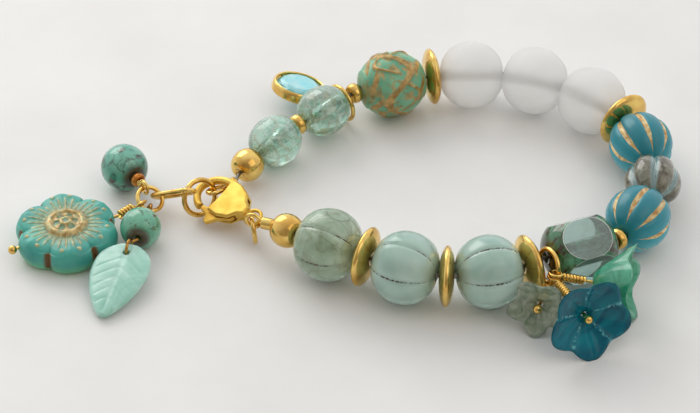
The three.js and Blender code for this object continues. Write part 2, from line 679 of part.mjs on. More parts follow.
function coinCharm() {
  const across = headingVector(COIN.holeHeading);
  const middle = COIN.centre.clone().setZ(COIN.holeHeight);
  const edge = COIN.radius + COIN_PIN.clear;
  const inside = middle.clone().addScaledVector(across, -edge);
  const outside = middle.clone().addScaledVector(across, edge + PIN_BALL_RADIUS * 0.6);
  const coin = flowerCoin(COIN).rotateZ(radians(COIN.turn)).translate(COIN.centre.x, COIN.centre.y, 0);
  const drill = rod(inside, outside, PIN_HOLE_RADIUS);
  addPiece('flower_coin', cut(coin, drill), 'coin_glass');

  const { loop, loopAxis, loopRadius, turnsEnd } = COIN_PIN;
  const stem = inside.clone().sub(loop);
  const reach = stem.length();
  const upper = pin({ loop: loopRadius, wound: reach - loopRadius - turnsEnd, reach, headed: false });
  upper.applyMatrix4(frameAt(loop, stem, loopAxis));
  const lower = rod(inside, outside, PIN_WIRE_RADIUS, 6);
  const whole = join(upper, kneeAt(inside), lower, ball(outside, PIN_BALL_RADIUS));
  addPiece('flower_coin_pin', whole, 'gold');
}

coinCharm();

// Charm 3: a round bead on an eye pin whose far eye holds a leaf.
const EYE_CHARM = {
  loop: vector(-34.19, -4.13, 2.83), stem: vector(-0.094, -0.99, 0.105),
  loopAxis: vector(0.88, -0.133, -0.456), loopRadius: 1.05, toBead: 5.45, bead: 6.85, beyondBead: 0.25,
  eye: vector(-36.25, -14.75, 3.55), eyeRadius: 1.32,
};
const LEAF = {
  stemEnd: vector(-36.1, -14.15, 3.5), tip: vector(-39.8, -28.3, 0.95), halfWidth: 4.8,
  holeIn: 1.85, holeRadius: 0.62, rib: 0.22,
};

function eyeCharm() {
  const { loop, stem, loopAxis, loopRadius, toBead, bead, beyondBead, eye, eyeRadius } = EYE_CHARM;
  const holeHalf = bead * HOLE_SHARE;
  const at = (distance) => frameAt(loop.clone().addScaledVector(stem, distance), stem, loopAxis);
  addPiece('eye_pin_bead', pinBead(bead, holeHalf), 'turquoise_glass', at(toBead));

  const reach = toBead + holeHalf + beyondBead;
  const wound = toBead - holeHalf - GAP - loopRadius;
  const upper = pin({ loop: loopRadius, wound, reach, headed: false }).applyMatrix4(at(0));
  const leaving = loop.clone().addScaledVector(stem, reach);
  const leafAlong = LEAF.tip.clone().sub(LEAF.stemEnd).normalize();
  const eyeAxis = leafAlong.clone().cross(Z_AXIS);
  const back = eye.clone().addScaledVector(leafAlong, -eyeRadius);
  const lower = rod(leaving, back, PIN_WIRE_RADIUS, 6);
  const farEye = wireRing(eye, eyeAxis, eyeRadius, PIN_WIRE_RADIUS);
  addPiece('leaf_eye_pin', join(upper, kneeAt(leaving), lower, farEye), 'gold');
}

eyeCharm();

// Rows of the leaf from stem to tip: share of the length, of the half width, and half thickness.
const LEAF_ROWS = [
  { along: 0.0, wide: 0.34, half: 0.38 },
  { along: 0.05, wide: 0.64, half: 0.45 },
  { along: 0.16, wide: 0.91, half: 0.62 },
  { along: 0.3, wide: 1.0, half: 0.85 },
  { along: 0.46, wide: 0.98, half: 0.95 },
  { along: 0.62, wide: 0.85, half: 0.95 },
  { along: 0.78, wide: 0.64, half: 0.9 },
  { along: 0.91, wide: 0.4, half: 0.8 },
  { along: 1.0, wide: 0.16, half: 0.6 },
];

// A closed loft: every row is one ring of points, and both ends are closed by a fan.
function loft(rows) {
  const sides = rows[0].length;
  const flat = rows.flat();
  const index = [];
  for (let row = 0; row < rows.length - 1; row += 1) {
    for (let side = 0; side < sides; side += 1) {
      const next = (side + 1) % sides;
      const a = row * sides + side;
      const b = row * sides + next;
      index.push(a, b, b + sides, a, b + sides, a + sides);
    }
  }
  const last = (rows.length - 1) * sides;
  for (let side = 1; side < sides - 1; side += 1) {
    index.push(0, side + 1, side);
    index.push(last, last + side, last + side + 1);
  }
  const geometry = new THREE.BufferGeometry();
  const positions = flat.flatMap((point) => [point.x, point.y, point.z]);
  geometry.setAttribute('position', new THREE.BufferAttribute(Float32Array.from(positions), 3));
  geometry.setIndex(index);
  return geometry;
}

// The leaf bellies down a little, its midrib is a shallow groove, and its edge is round.
function leaf() {
  const length = LEAF.tip.distanceTo(LEAF.stemEnd);
  const rows = LEAF_ROWS.map(({ along, wide, half }) => {
    const w = wide * LEAF.halfWidth;
    const middle = half - LEAF.rib * wide;
    const section = [
      [w, 0], [w * 0.86, half * 0.75], [w * 0.45, half], [0, middle], [-w * 0.45, half],
      [-w * 0.86, half * 0.75], [-w, 0], [-w * 0.7, -half * 0.8], [0, -half], [w * 0.7, -half * 0.8],
    ];
    return section.map(([x, z]) => vector(x, z, along * length));
  });
  const axis = LEAF.tip.clone().sub(LEAF.stemEnd).normalize();
  const body = loft(rows);
  const drill = rod(vector(0, -3, LEAF.holeIn), vector(0, 3, LEAF.holeIn), LEAF.holeRadius);
  const side = axis.clone().cross(Z_AXIS).normalize();
  addPiece('leaf', cut(body, drill), 'leaf_glass', frameAt(LEAF.stemEnd, axis, side.negate()));
}

leaf();

// ---------------------------------------------------------------- the channel-set stone

const STONE_RING = {
  between: ['gold_spacer_2', 'crackle_bead_1'], outward: 1.3, drop: 1.9, radius: 3.2, wire: 0.38,
};

// The ring hangs on the beading wire between two beads, square to it, and lies outward of the strand.
function placeStoneRing() {
  const [before, after] = STONE_RING.between.map((name) => beadNamed[name]);
  const start = holePoint(before, 1);
  const along = holePoint(after, -1).sub(start);
  const centre = start.clone().addScaledVector(along, 0.5);
  const outward = along.clone().cross(Z_AXIS).normalize();
  centre.addScaledVector(outward, STONE_RING.outward);
  centre.z -= STONE_RING.drop;
  const axis = before.axis.clone().add(after.axis);
  addPiece('stone_ring', wireRing(centre, axis, STONE_RING.radius, STONE_RING.wire), 'gold');
  return { centre, outward };
}

// Setting and stone share a local frame: the stone's table faces +Z and the side loop lies towards +X.
// onRing is how far below the ring's middle, in degrees, the loop holds it.
const SETTING = {
  up: vector(0.25, 0.2, 0.95), toRing: vector(0.93, -0.37, -0.17), inner: 4.5, outer: 5.0, half: 0.95,
  lip: 4.1, loopRadius: 1.3, loopWire: 0.35, loopAt: 6.4, onRing: 24,
};
const STONE = {
  girdle: 4.2, girdleHalf: 0.15, table: 2.5, crown: 1.2, culet: 1.2, pavilion: 1.3, sides: 12,
};

function stoneSetting() {
  const { inner, outer, half, lip, loopRadius, loopWire, loopAt } = SETTING;
  const band = turned([
    [inner, -0.35], [4.15, -half], [outer - 0.2, -half], [outer, -half + 0.2], [outer, half * 0.6],
    [lip + 0.25, half + 0.1], [lip - 0.15, half], [inner, 0.35],
  ], 20);
  const loop = new THREE.TorusGeometry(loopRadius, loopWire, 6, 12).translate(loopAt, 0, 0);
  return join(band, loop);
}

// A round cut stone: a flat table, a crown of 12 facets, a girdle and a pavilion that ends flat.
function cutStone() {
  const { girdle, girdleHalf, table, crown, culet, pavilion, sides } = STONE;
  return turned([
    [0, -pavilion], [culet, -pavilion], [girdle, -girdleHalf], [girdle, girdleHalf], [table, crown], [0, crown],
  ], sides);
}

const stoneRing = placeStoneRing();
const settingTurn = frameAt(vector(0, 0, 0), SETTING.up, SETTING.toRing);
const towardsRing = vector(SETTING.loopAt, 0, 0).applyMatrix4(settingTurn);
const settingCentre = stoneRing.centre.clone()
  .addScaledVector(stoneRing.outward, STONE_RING.radius * Math.cos(radians(SETTING.onRing)))
  .addScaledVector(Z_AXIS, -STONE_RING.radius * Math.sin(radians(SETTING.onRing)))
  .sub(towardsRing);
const settingPlace = settingTurn.setPosition(settingCentre);
addPiece('stone_setting', stoneSetting(), 'gold', settingPlace);
addPiece('aqua_stone', cutStone(), 'aqua_crystal', settingPlace);

// ---------------------------------------------------------------- the whole bracelet, base at z = 0

bracelet.updateMatrixWorld(true);
const bounds = new THREE.Box3().setFromObject(bracelet, true);
bracelet.position.set(-(bounds.min.x + bounds.max.x) / 2, -(bounds.min.y + bounds.max.y) / 2, -bounds.min.z);

export default bracelet;
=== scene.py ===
"""A beaded bracelet of glass and gold-coloured metal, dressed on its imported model.

Sizes in this script are millimetres unless a name says otherwise, and a piece is turned to metres when
its mesh is made. Local frames follow one rule: +Z runs along a hole, stem or leaf, and +X faces its side.
"""
import logging
import math
from abc import ABC, abstractmethod
from dataclasses import dataclass, field
from enum import Enum
from functools import partial
from itertools import product
from typing import Any, Callable, Iterable, Sequence, Union

import bmesh
import bpy
import numpy as np
from mathutils import Matrix, Vector


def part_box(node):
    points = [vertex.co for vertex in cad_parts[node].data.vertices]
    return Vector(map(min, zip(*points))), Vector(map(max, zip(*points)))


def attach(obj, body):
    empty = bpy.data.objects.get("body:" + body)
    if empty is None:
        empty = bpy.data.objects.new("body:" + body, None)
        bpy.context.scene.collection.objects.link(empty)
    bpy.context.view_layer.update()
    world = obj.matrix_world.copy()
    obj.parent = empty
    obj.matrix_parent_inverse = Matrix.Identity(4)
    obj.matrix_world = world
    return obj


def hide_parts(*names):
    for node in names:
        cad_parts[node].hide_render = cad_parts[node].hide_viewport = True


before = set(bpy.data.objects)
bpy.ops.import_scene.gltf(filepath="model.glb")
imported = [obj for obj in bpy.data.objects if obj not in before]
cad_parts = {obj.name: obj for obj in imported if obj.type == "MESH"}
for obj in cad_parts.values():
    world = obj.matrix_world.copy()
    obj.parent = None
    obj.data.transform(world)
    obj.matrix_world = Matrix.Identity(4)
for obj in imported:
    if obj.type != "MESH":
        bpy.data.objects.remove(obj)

log = logging.getLogger("bracelet")

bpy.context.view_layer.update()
MM = 0.001
MERGE = 1e-6
GAP = 0.3
TURN = 2 * math.pi
UP = np.array([0.0, 0.0, 1.0])
Point = Union[np.ndarray, Sequence[float]]
Feeds = Union[dict[Any, Any], Sequence[Any]]
Adder = Callable[..., bpy.types.NodeSocket]


# ------------------------------------------------------------------ places and small maths


def unit(v: Point) -> np.ndarray:
    """The direction of a vector."""
    v = np.asarray(v, float)
    return v / np.linalg.norm(v)


def frame_at(origin: Point, axis: Point, side: Point = UP) -> np.ndarray:
    """A place whose local +Z lies on an axis and whose local +X faces a side.

    Args:
        origin: the local origin, in millimetres.
        axis: where local +Z points.
        side: where local +X points, as nearly as it can.

    Returns:
        A 4 x 4 matrix in millimetres.
    """
    z = unit(axis)
    x = np.asarray(side, float) - z * np.dot(side, z)
    x = unit(x)
    place = np.eye(4)
    place[:3, 0] = x
    place[:3, 1] = np.cross(z, x)
    place[:3, 2] = z
    place[:3, 3] = origin
    return place


def moved(points: np.ndarray, place: np.ndarray) -> np.ndarray:
    """Points taken from a local frame to the part's frame."""
    return points @ place[:3, :3].T + place[:3, 3]


def put_at(mesh: bpy.types.Mesh, place: np.ndarray) -> None:
    """Takes a mesh in metres from a local frame to the part's frame.

    Args:
        mesh: the mesh, changed in place.
        place: a 4 x 4 matrix in millimetres.
    """
    in_metres = place.copy()
    in_metres[:3, 3] *= MM
    mesh.transform(Matrix(in_metres.tolist()))


def box_middle(node: str) -> np.ndarray:
    """The middle of a CAD node's box, in millimetres."""
    low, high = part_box(node)
    return (np.array(low) + np.array(high)) / 2 / MM


def towards_groove(turn: np.ndarray, lobes: int) -> np.ndarray:
    """How far a share of a turn lies from the middle of its lobe: 0 in the middle, 1 in the groove."""
    return np.abs((turn * lobes) % 1 - 0.5) * 2


def smooth_step(low: float, high: float, x: np.ndarray) -> np.ndarray:
    """0 below low, 1 above high and a smooth rise between them."""
    t = np.clip((x - low) / (high - low), 0, 1)
    return t * t * (3 - 2 * t)


def smooth_line(x: np.ndarray, stations: Sequence[float], values: Sequence[float]) -> np.ndarray:
    """A smooth curve through values at stations, read at x.

    Args:
        x: where it is read.
        stations: where the values stand.
        values: one for each station.

    Returns:
        The curve at x.
    """
    fine = np.linspace(stations[0], stations[-1], 400)
    raw = np.interp(fine, stations, values)
    kernel = np.hanning(61)
    padded = np.pad(raw, 30, mode="reflect", reflect_type="odd")
    return np.interp(x, fine, np.convolve(padded, kernel / kernel.sum(), "valid"))


def away_from(x: np.ndarray, y: np.ndarray, radius: float, turn: float) -> np.ndarray:
    """How far points lie from the point at a radius and a share of a turn."""
    return np.hypot(x - math.cos(turn * TURN) * radius, y - math.sin(turn * TURN) * radius)


def arc(start: float, end: float, steps: int, radius: float) -> np.ndarray:
    """Points of an arc in the local XY plane, from one angle in degrees to another."""
    angles = np.radians(np.linspace(start, end, steps))
    return np.stack([np.cos(angles) * radius, np.sin(angles) * radius, np.zeros(steps)], axis=1)


# The bracelet's own table frame, in which the findings' places are given, lies a little off the part's.
STRAND_START = np.array([-10.35, -12.6, 5.4])
TABLE_SHIFT = box_middle("gold_bead_1") - STRAND_START


def on_table(x: float, y: float, z: float) -> np.ndarray:
    """A place given in the table frame, in the part's frame."""
    return np.array([x, y, z]) + TABLE_SHIFT


# ------------------------------------------------------------------ node trees


def linear(code: str) -> tuple[float, float, float, float]:
    """A linear colour from an sRGB hex value such as #8FB5A6.

    Args:
        code: the sRGB value.

    Returns:
        Red, green, blue and alpha.
    """
    shares = [int(code[i:i + 2], 16) / 255 for i in (1, 3, 5)]
    turned = [s / 12.92 if s <= 0.04045 else ((s + 0.055) / 1.055) ** 2.4 for s in shares]
    return turned[0], turned[1], turned[2], 1.0


def add_node(tree: bpy.types.NodeTree, kind: str, feeds: Feeds = (), stops: Sequence = (),
             **settings: Any) -> bpy.types.NodeSocket:
    """Adds a node with its settings and links.

    Args:
        tree: the tree that gets the node.
        kind: the node's type.
        feeds: what its inputs get, in the order of its active inputs or by name: a socket or a value.
        stops: positions and hex colours of a colour ramp.
        settings: properties of the node.

    Returns:
        The node's first active output.
    """
    node = tree.nodes.new(kind)
    for name, value in settings.items():
        setattr(node, name, value)
    if stops:
        ramp = node.color_ramp
        while len(ramp.elements) < len(stops):
            ramp.elements.new(0.5)
        for element, (position, code) in zip(ramp.elements, stops):
            element.position = position
            element.color = linear(code)
    active = [socket for socket in node.inputs if socket.enabled]
    pairs = feeds.items() if isinstance(feeds, dict) else enumerate(feeds)
    for key, value in pairs:
        if value is None:
            continue
        socket = active[key] if isinstance(key, int) else node.inputs[key]
        if isinstance(value, bpy.types.NodeSocket):
            tree.links.new(value, socket)
        else:
            socket.default_value = value
    return next(socket for socket in node.outputs if socket.enabled) if node.outputs else None


MATH = "ShaderNodeMath"
NOISE = "ShaderNodeTexNoise"
VORONOI = "ShaderNodeTexVoronoi"
RAMP = "ShaderNodeValToRGB"
RANGE = "ShaderNodeMapRange"
MIX = "ShaderNodeMix"
MARK = "ShaderNodeAttribute"
BUMP = "ShaderNodeBump"


@dataclass
class ShapeTree:
    """A Geometry Nodes tree with named inputs that makes one kind of piece."""

    name: str
    lengths: Sequence[str]
    counts: Sequence[str]
    tree: bpy.types.NodeTree = field(init=False)
    inputs: dict[str, str] = field(init=False, default_factory=dict)

    def __post_init__(self) -> None:
        """Makes the tree with its named inputs and its output."""
        self.tree = bpy.data.node_groups.new(self.name, "GeometryNodeTree")
        sockets = self.tree.interface
        sockets.new_socket(name="Geometry", in_out="INPUT", socket_type="NodeSocketGeometry")
        sockets.new_socket(name="Geometry", in_out="OUTPUT", socket_type="NodeSocketGeometry")
        kinds = (("Float", self.lengths), ("Int", self.counts), ("Material", ["Material"]))
        for kind, names in kinds:
            for name in names:
                made = sockets.new_socket(name=name, in_out="INPUT", socket_type=f"NodeSocket{kind}")
                self.inputs[name] = made.identifier

    def entry(self) -> dict[str, bpy.types.NodeSocket]:
        """The group's inputs.

        Returns:
            Each input's socket by name.
        """
        node = self.tree.nodes.new("NodeGroupInput")
        return {socket.name: socket for socket in node.outputs if socket.name}

    def close(self, shape: bpy.types.NodeSocket, material: bpy.types.NodeSocket) -> None:
        """Ends the tree: smooth faces, instances made real, material set.

        Args:
            shape: the finished geometry.
            material: the input that holds its material.
        """
        smooth = add_node(self.tree, "GeometryNodeSetShadeSmooth", [shape])
        real = add_node(self.tree, "GeometryNodeRealizeInstances", [smooth])
        done = add_node(self.tree, "GeometryNodeSetMaterial", {"Geometry": real, "Material": material})
        add_node(self.tree, "NodeGroupOutput", [done])

    def make(self, start: bpy.types.Mesh, values: dict[str, Any], place: np.ndarray) -> bpy.types.Mesh:
        """Runs the tree on a mesh and gives the result as a plain mesh.

        Args:
            start: the mesh that the tree reads.
            values: its inputs by name, lengths in metres.
            place: where the result goes, in millimetres.

        Returns:
            A plain mesh in the part's frame.
        """
        carrier = bpy.data.objects.new(self.name, start)
        bpy.context.scene.collection.objects.link(carrier)
        modifier = carrier.modifiers.new(self.name, "NODES")
        modifier.node_group = self.tree
        for name, value in values.items():
            modifier[self.inputs[name]] = value
        graph = bpy.context.evaluated_depsgraph_get()
        mesh = bpy.data.meshes.new_from_object(carrier.evaluated_get(graph))
        bpy.data.objects.remove(carrier)
        put_at(mesh, place)
        return mesh


BEAD_LENGTHS = ("Diameter", "Length", "Bore", "Lip", "Power", "Groove Depth", "Groove Sharpness")
BEAD_COUNTS = ("Lobes", "Around", "Rows")

# Each row: what it makes, how, and from what. A word is an input or an earlier row.
BEAD_FORMULA = (
    ("turn", "ADD", "x", 0.5),
    ("y share", "ADD", "y", 0.5),
    ("last line", "SUBTRACT", "lines", 1),
    ("row", "MULTIPLY", "y share", "last line"),
    # The outer rows bulge as a superellipse from hole to hole.
    ("last outer", "SUBTRACT", "Rows", 1),
    ("share", "DIVIDE", "row", "last outer"),
    ("share", "MINIMUM", "share", 1),
    ("swing", "SUBTRACT", "share", 0.5),
    ("swing", "MULTIPLY", "swing", math.pi),
    ("height", "SINE", "swing"),
    ("fall", "ABSOLUTE", "height"),
    ("fall", "POWER", "fall", "Power"),
    ("left", "SUBTRACT", 1, "fall"),
    ("left", "MAXIMUM", "left", 0),
    ("root", "DIVIDE", 1, "Power"),
    ("bulge", "POWER", "left", "root"),
    ("rim", "ADD", "Bore", "Lip"),
    ("half width", "MULTIPLY", "Diameter", 0.5),
    ("swell", "SUBTRACT", "half width", "rim"),
    ("outer", "MULTIPLY_ADD", "swell", "bulge", "rim"),
    # The last three rows run down the hole and back to the first row.
    ("step", "SUBTRACT", "row", "last outer"),
    ("past rim", "GREATER_THAN", "step", 0.5),
    ("before end", "LESS_THAN", "step", 2.5),
    ("inside", "MULTIPLY", "past rim", "before end"),
    ("low end", "GREATER_THAN", "step", 1.5),
    ("beyond", "GREATER_THAN", "step", 2.5),
    ("to bore", "SUBTRACT", "Bore", "outer"),
    ("radius", "MULTIPLY_ADD", "to bore", "inside", "outer"),
    ("to rim", "SUBTRACT", "rim", "radius"),
    ("radius", "MULTIPLY_ADD", "to rim", "beyond", "radius"),
    ("to foot", "SUBTRACT", -1, "height"),
    ("height", "MULTIPLY_ADD", "to foot", "low end", "height"),
    # Grooves run from hole to hole and fade towards it.
    ("lobe", "MULTIPLY", "turn", "Lobes"),
    ("lobe", "FRACT", "lobe"),
    ("near", "SUBTRACT", "lobe", 0.5),
    ("near", "ABSOLUTE", "near"),
    ("near", "MULTIPLY", "near", 2),
    ("groove", "POWER", "near", "Groove Sharpness"),
    ("from bore", "SUBTRACT", "radius", "Bore"),
    ("wall", "SUBTRACT", "half width", "Bore"),
    ("from bore", "DIVIDE", "from bore", "wall"),
    ("cut", "MULTIPLY", "Groove Depth", "groove"),
    ("cut", "MULTIPLY", "cut", "from bore"),
    ("radius", "SUBTRACT", "radius", "cut"),
    ("angle", "MULTIPLY", "turn", TURN),
    ("cosine", "COSINE", "angle"),
    ("sine", "SINE", "angle"),
    ("bead x", "MULTIPLY", "cosine", "radius"),
    ("bead y", "MULTIPLY", "sine", "radius"),
    ("bead z", "MULTIPLY", "height", "Length"),
    ("bead z", "MULTIPLY", "bead z", 0.5),
)


def work_out(tree: bpy.types.NodeTree, known: dict[str, Any], formula: Iterable[Sequence[Any]]) -> None:
    """Adds the nodes of a formula, row by row.

    Args:
        tree: the tree that gets the nodes.
        known: sockets by name; each row's result joins them.
        formula: rows of a result's name, an operation and its values.
    """
    for result, operation, *values in formula:
        feeds = [known[value] if isinstance(value, str) else value for value in values]
        known[result] = add_node(tree, MATH, feeds, operation=operation)


def bead_tree() -> ShapeTree:
    """The tree of every strung bead: a drilled, bulging body with or without grooves along it.

    Returns:
        The tree, its sizes open as named inputs.
    """
    shape = ShapeTree("strung_bead", BEAD_LENGTHS, BEAD_COUNTS)
    tree, known = shape.tree, shape.entry()
    work_out(tree, known, (("columns", "ADD", "Around", 1), ("lines", "ADD", "Rows", 3)))
    size = {"Size X": 1.0, "Size Y": 1.0, "Vertices X": known["columns"], "Vertices Y": known["lines"]}
    grid = add_node(tree, "GeometryNodeMeshGrid", size)
    mapped = add_node(tree, "GeometryNodeStoreNamedAttribute",
                      {"Geometry": grid, "Name": "UVMap", "Value": grid.node.outputs["UV Map"]},
                      data_type="FLOAT2", domain="CORNER")
    here = add_node(tree, "ShaderNodeSeparateXYZ", [add_node(tree, "GeometryNodeInputPosition")]).node
    known.update(x=here.outputs["X"], y=here.outputs["Y"])
    work_out(tree, known, BEAD_FORMULA)
    position = add_node(tree, "ShaderNodeCombineXYZ", [known["bead x"], known["bead y"], known["bead z"]])
    marked = mapped
    for name, value in (("groove", known["near"]), ("along", known["height"])):
        marked = add_node(tree, "GeometryNodeStoreNamedAttribute",
                          {"Geometry": marked, "Name": name, "Value": value}, data_type="FLOAT",
                          domain="POINT")
    placed = add_node(tree, "GeometryNodeSetPosition", {"Geometry": marked, "Position": position})
    closed = add_node(tree, "GeometryNodeMergeByDistance", {"Geometry": placed, "Distance": MERGE})
    shape.close(closed, known["Material"])
    return shape


def wire_tree() -> ShapeTree:
    """The tree of every wire: a round section swept along polylines, with a ball on marked points.

    Returns:
        The tree, its sizes open as named inputs.
    """
    shape = ShapeTree("round_wire", ("Radius", "Step"), ("Sides",))
    tree, given = shape.tree, shape.entry()
    path = add_node(tree, "GeometryNodeMeshToCurve", [given["Geometry"]])
    soft = add_node(tree, "GeometryNodeCurveSplineType", [path], spline_type="CATMULL_ROM")
    fine = add_node(tree, "GeometryNodeSetSplineResolution", {"Geometry": soft, "Resolution": 6})
    even = add_node(tree, "GeometryNodeResampleCurve", {"Curve": fine, "Length": given["Step"]},
                    mode="LENGTH")
    ring = add_node(tree, "GeometryNodeCurvePrimitiveCircle",
                    {"Resolution": given["Sides"], "Radius": given["Radius"]})
    swept = add_node(tree, "GeometryNodeCurveToMesh",
                     {"Curve": even, "Profile Curve": ring, "Fill Caps": True})
    head = add_node(tree, "GeometryNodeInputNamedAttribute", {"Name": "head"}, data_type="FLOAT")
    wanted = add_node(tree, MATH, [head, 1e-5], operation="GREATER_THAN")
    ball = add_node(tree, "GeometryNodeMeshUVSphere", {"Segments": 24, "Rings": 16, "Radius": 1.0})
    heads = add_node(tree, "GeometryNodeInstanceOnPoints",
                     {"Points": given["Geometry"], "Selection": wanted, "Instance": ball, "Scale": head})
    whole = add_node(tree, "GeometryNodeJoinGeometry")
    tree.links.new(swept, whole.node.inputs[0])
    tree.links.new(heads, whole.node.inputs[0])
    shape.close(whole, given["Material"])
    return shape


# ------------------------------------------------------------------ meshes from grids of points


@dataclass
class Skin:
    """A skin over a grid of points in millimetres: lines by columns by 3, whose last column joins its first.

    With loop set, its last line joins its first too. Marks are values on its points, by name.
    """

    rows: np.ndarray
    loop: bool = False
    marks: dict[str, np.ndarray] = field(default_factory=dict)

    def faces(self) -> list[list[int]]:
        """The quads between neighbouring lines and columns.

        Returns:
            The four corners of each.
        """
        lines, columns = self.rows.shape[:2]
        index = np.arange(lines * columns).reshape(lines, columns)
        low = index if self.loop else index[:-1]
        high = np.roll(index, -1, axis=0) if self.loop else index[1:]
        corners = (low, np.roll(low, -1, 1), np.roll(high, -1, 1), high)
        return np.stack([corner.ravel() for corner in corners], axis=1).tolist()

    def mesh(self, name: str, place: np.ndarray, material: bpy.types.Material,
             smooth: bool = True) -> bpy.types.Mesh:
        """Makes the mesh, in metres.

        Args:
            name: the mesh's name.
            place: where the local frame goes, in millimetres.
            material: its finish.
            smooth: whether its faces are shaded smooth.

        Returns:
            The mesh in the part's frame, its doubles merged.
        """
        mesh = bpy.data.meshes.new(name)
        mesh.from_pydata((moved(self.rows.reshape(-1, 3), place) * MM).tolist(), [], self.faces())
        for mark, values in self.marks.items():
            layer = mesh.attributes.new(mark, "FLOAT", "POINT")
            spread = np.broadcast_to(values, self.rows.shape[:2]).ravel()
            layer.data.foreach_set("value", spread.astype(np.float32))
        shell = bmesh.new()
        shell.from_mesh(mesh)
        bmesh.ops.remove_doubles(shell, verts=shell.verts, dist=MERGE)
        bmesh.ops.recalc_face_normals(shell, faces=shell.faces)
        shell.to_mesh(mesh)
        shell.free()
        mesh.polygons.foreach_set("use_smooth", [smooth] * len(mesh.polygons))
        mesh.materials.append(material)
        return mesh


def turned(outline: np.ndarray, around: int) -> np.ndarray:
    """An outline turned about local +Z.

    Args:
        outline: [radius, height] rows.
        around: how many columns go round.

    Returns:
        Points, as lines by columns by 3.
    """
    angles = np.arange(around) / around * TURN
    radius, height = outline[:, :1], outline[:, 1:2]
    return np.stack([radius * np.cos(angles), radius * np.sin(angles), height + 0 * angles], axis=2)


def round_corners(points: Iterable[Point], reach: float, steps: int = 4) -> np.ndarray:
    """An open outline whose inner corners are cut into short curves.

    Args:
        points: the corners, in order.
        reach: how far from a corner its curve starts.
        steps: points on each curve.

    Returns:
        The rounded outline's points.
    """
    corners = [np.asarray(p, float) for p in points]
    out = [corners[0]]
    for before, here, after in zip(corners, corners[1:], corners[2:]):
        back, on = before - here, after - here
        near = min(reach, np.linalg.norm(back) / 2.2, np.linalg.norm(on) / 2.2)
        start, end = here + unit(back) * near, here + unit(on) * near
        for t in np.linspace(0, 1, steps):
            out.append((1 - t) ** 2 * start + 2 * t * (1 - t) * here + t * t * end)
    out.append(corners[-1])
    return np.array(out)


def drilled(mesh: bpy.types.Mesh, radius: float, half: float, place: np.ndarray) -> bpy.types.Mesh:
    """A mesh with a round hole drilled through it.

    Args:
        mesh: the mesh, in the part's frame.
        radius: the hole's radius, in millimetres.
        half: half the drill's length, in millimetres.
        place: the middle of the hole, which runs along its local +Z.

    Returns:
        The drilled mesh.
    """
    drill = Skin(turned(np.array([[0, -half], [radius, -half], [radius, half], [0, half]]), 24))
    carrier = bpy.data.objects.new("blank", mesh)
    cutter = bpy.data.objects.new("drill", drill.mesh("drill", place, mesh.materials[0]))
    for thing in (carrier, cutter):
        bpy.context.scene.collection.objects.link(thing)
    cut = carrier.modifiers.new("drill", "BOOLEAN")
    cut.operation, cut.object, cut.solver = "DIFFERENCE", cutter, "EXACT"
    graph = bpy.context.evaluated_depsgraph_get()
    made = bpy.data.meshes.new_from_object(carrier.evaluated_get(graph))
    for thing in (carrier, cutter):
        bpy.data.objects.remove(thing)
    return made


def joined(*meshes: bpy.types.Mesh) -> bpy.types.Mesh:
    """Several meshes of one finish as one.

    Args:
        meshes: the meshes; the first takes in the others.

    Returns:
        The first mesh.
    """
    shell = bmesh.new()
    for mesh in meshes:
        shell.from_mesh(mesh)
    shell.to_mesh(meshes[0])
    shell.free()
    return meshes[0]


# ------------------------------------------------------------------ pieces and their finishes


class Slot(Enum):
    """The record's material slots."""

    GOLD = "gold"
    SATIN_GOLD = "satin_gold"
    STEEL_WIRE = "steel_wire"
    SEA_GREEN = "sea_green_glass"
    SPECKLED = "speckled_green_glass"
    TEAL = "matte_teal_glass"
    BRONZE = "bronze_glass"
    FROSTED = "frosted_glass"
    PATINA = "patina_glass"
    CRACKLE = "crackle_glass"
    COIN = "coin_glass"
    TURQUOISE = "turquoise_glass"
    LEAF = "leaf_glass"
    SMOKY = "smoky_glass"
    BLUE = "blue_glass"
    OPAQUE_GREEN = "opaque_green_glass"
    AQUA = "aqua_crystal"


def stand_for(mesh: bpy.types.Mesh, node: str, slot: Slot, body: str = "strand") -> bpy.types.Object:
    """Makes a piece of a mesh, in the place of the CAD node of the same name.

    Args:
        mesh: its mesh, in the part's frame.
        node: the CAD node that it stands for.
        slot: the material slot of its finish.
        body: the body that it moves with.

    Returns:
        The piece.
    """
    piece = bpy.data.objects.new(f"{node}_dressed", mesh)
    bpy.context.scene.collection.objects.link(piece)
    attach(piece, body)
    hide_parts(node)
    log.info("%s: %d faces, %s", piece.name, len(mesh.polygons), slot.value)
    return piece


@dataclass(frozen=True)
class Finish(ABC):
    """A material: what it is made of and how its surface was made."""

    name: str

    @abstractmethod
    def dress(self, add: Adder, here: bpy.types.NodeSocket) -> dict[str, Any]:
        """Adds the pattern's nodes. A noise or cell pattern left unplaced reads the place on the piece.

        Args:
            add: adds a node to the material's tree.
            here: the place on the piece, in object coordinates.

        Returns:
            The shader's inputs by name.
        """

    def material(self) -> bpy.types.Material:
        """Makes the material once.

        Returns:
            The material, with one shader and its pattern.
        """
        made = bpy.data.materials.get(self.name)
        if made:
            return made
        made = bpy.data.materials.new(self.name)
        made.use_nodes = True
        tree = made.node_tree
        tree.nodes.clear()
        here = add_node(tree, "ShaderNodeTexCoord").node.outputs["Object"]
        inputs = self.dress(partial(add_node, tree), here)
        for node in list(tree.nodes):
            if node.bl_idname in (NOISE, VORONOI) and not node.inputs["Vector"].is_linked:
                tree.links.new(here, node.inputs["Vector"])
        shader = add_node(tree, "ShaderNodeBsdfPrincipled", inputs)
        add_node(tree, "ShaderNodeOutputMaterial", [shader])
        return made


def per_size(size: float) -> float:
    """The scale of a texture whose features are that many millimetres across."""
    return 1 / (size * MM)


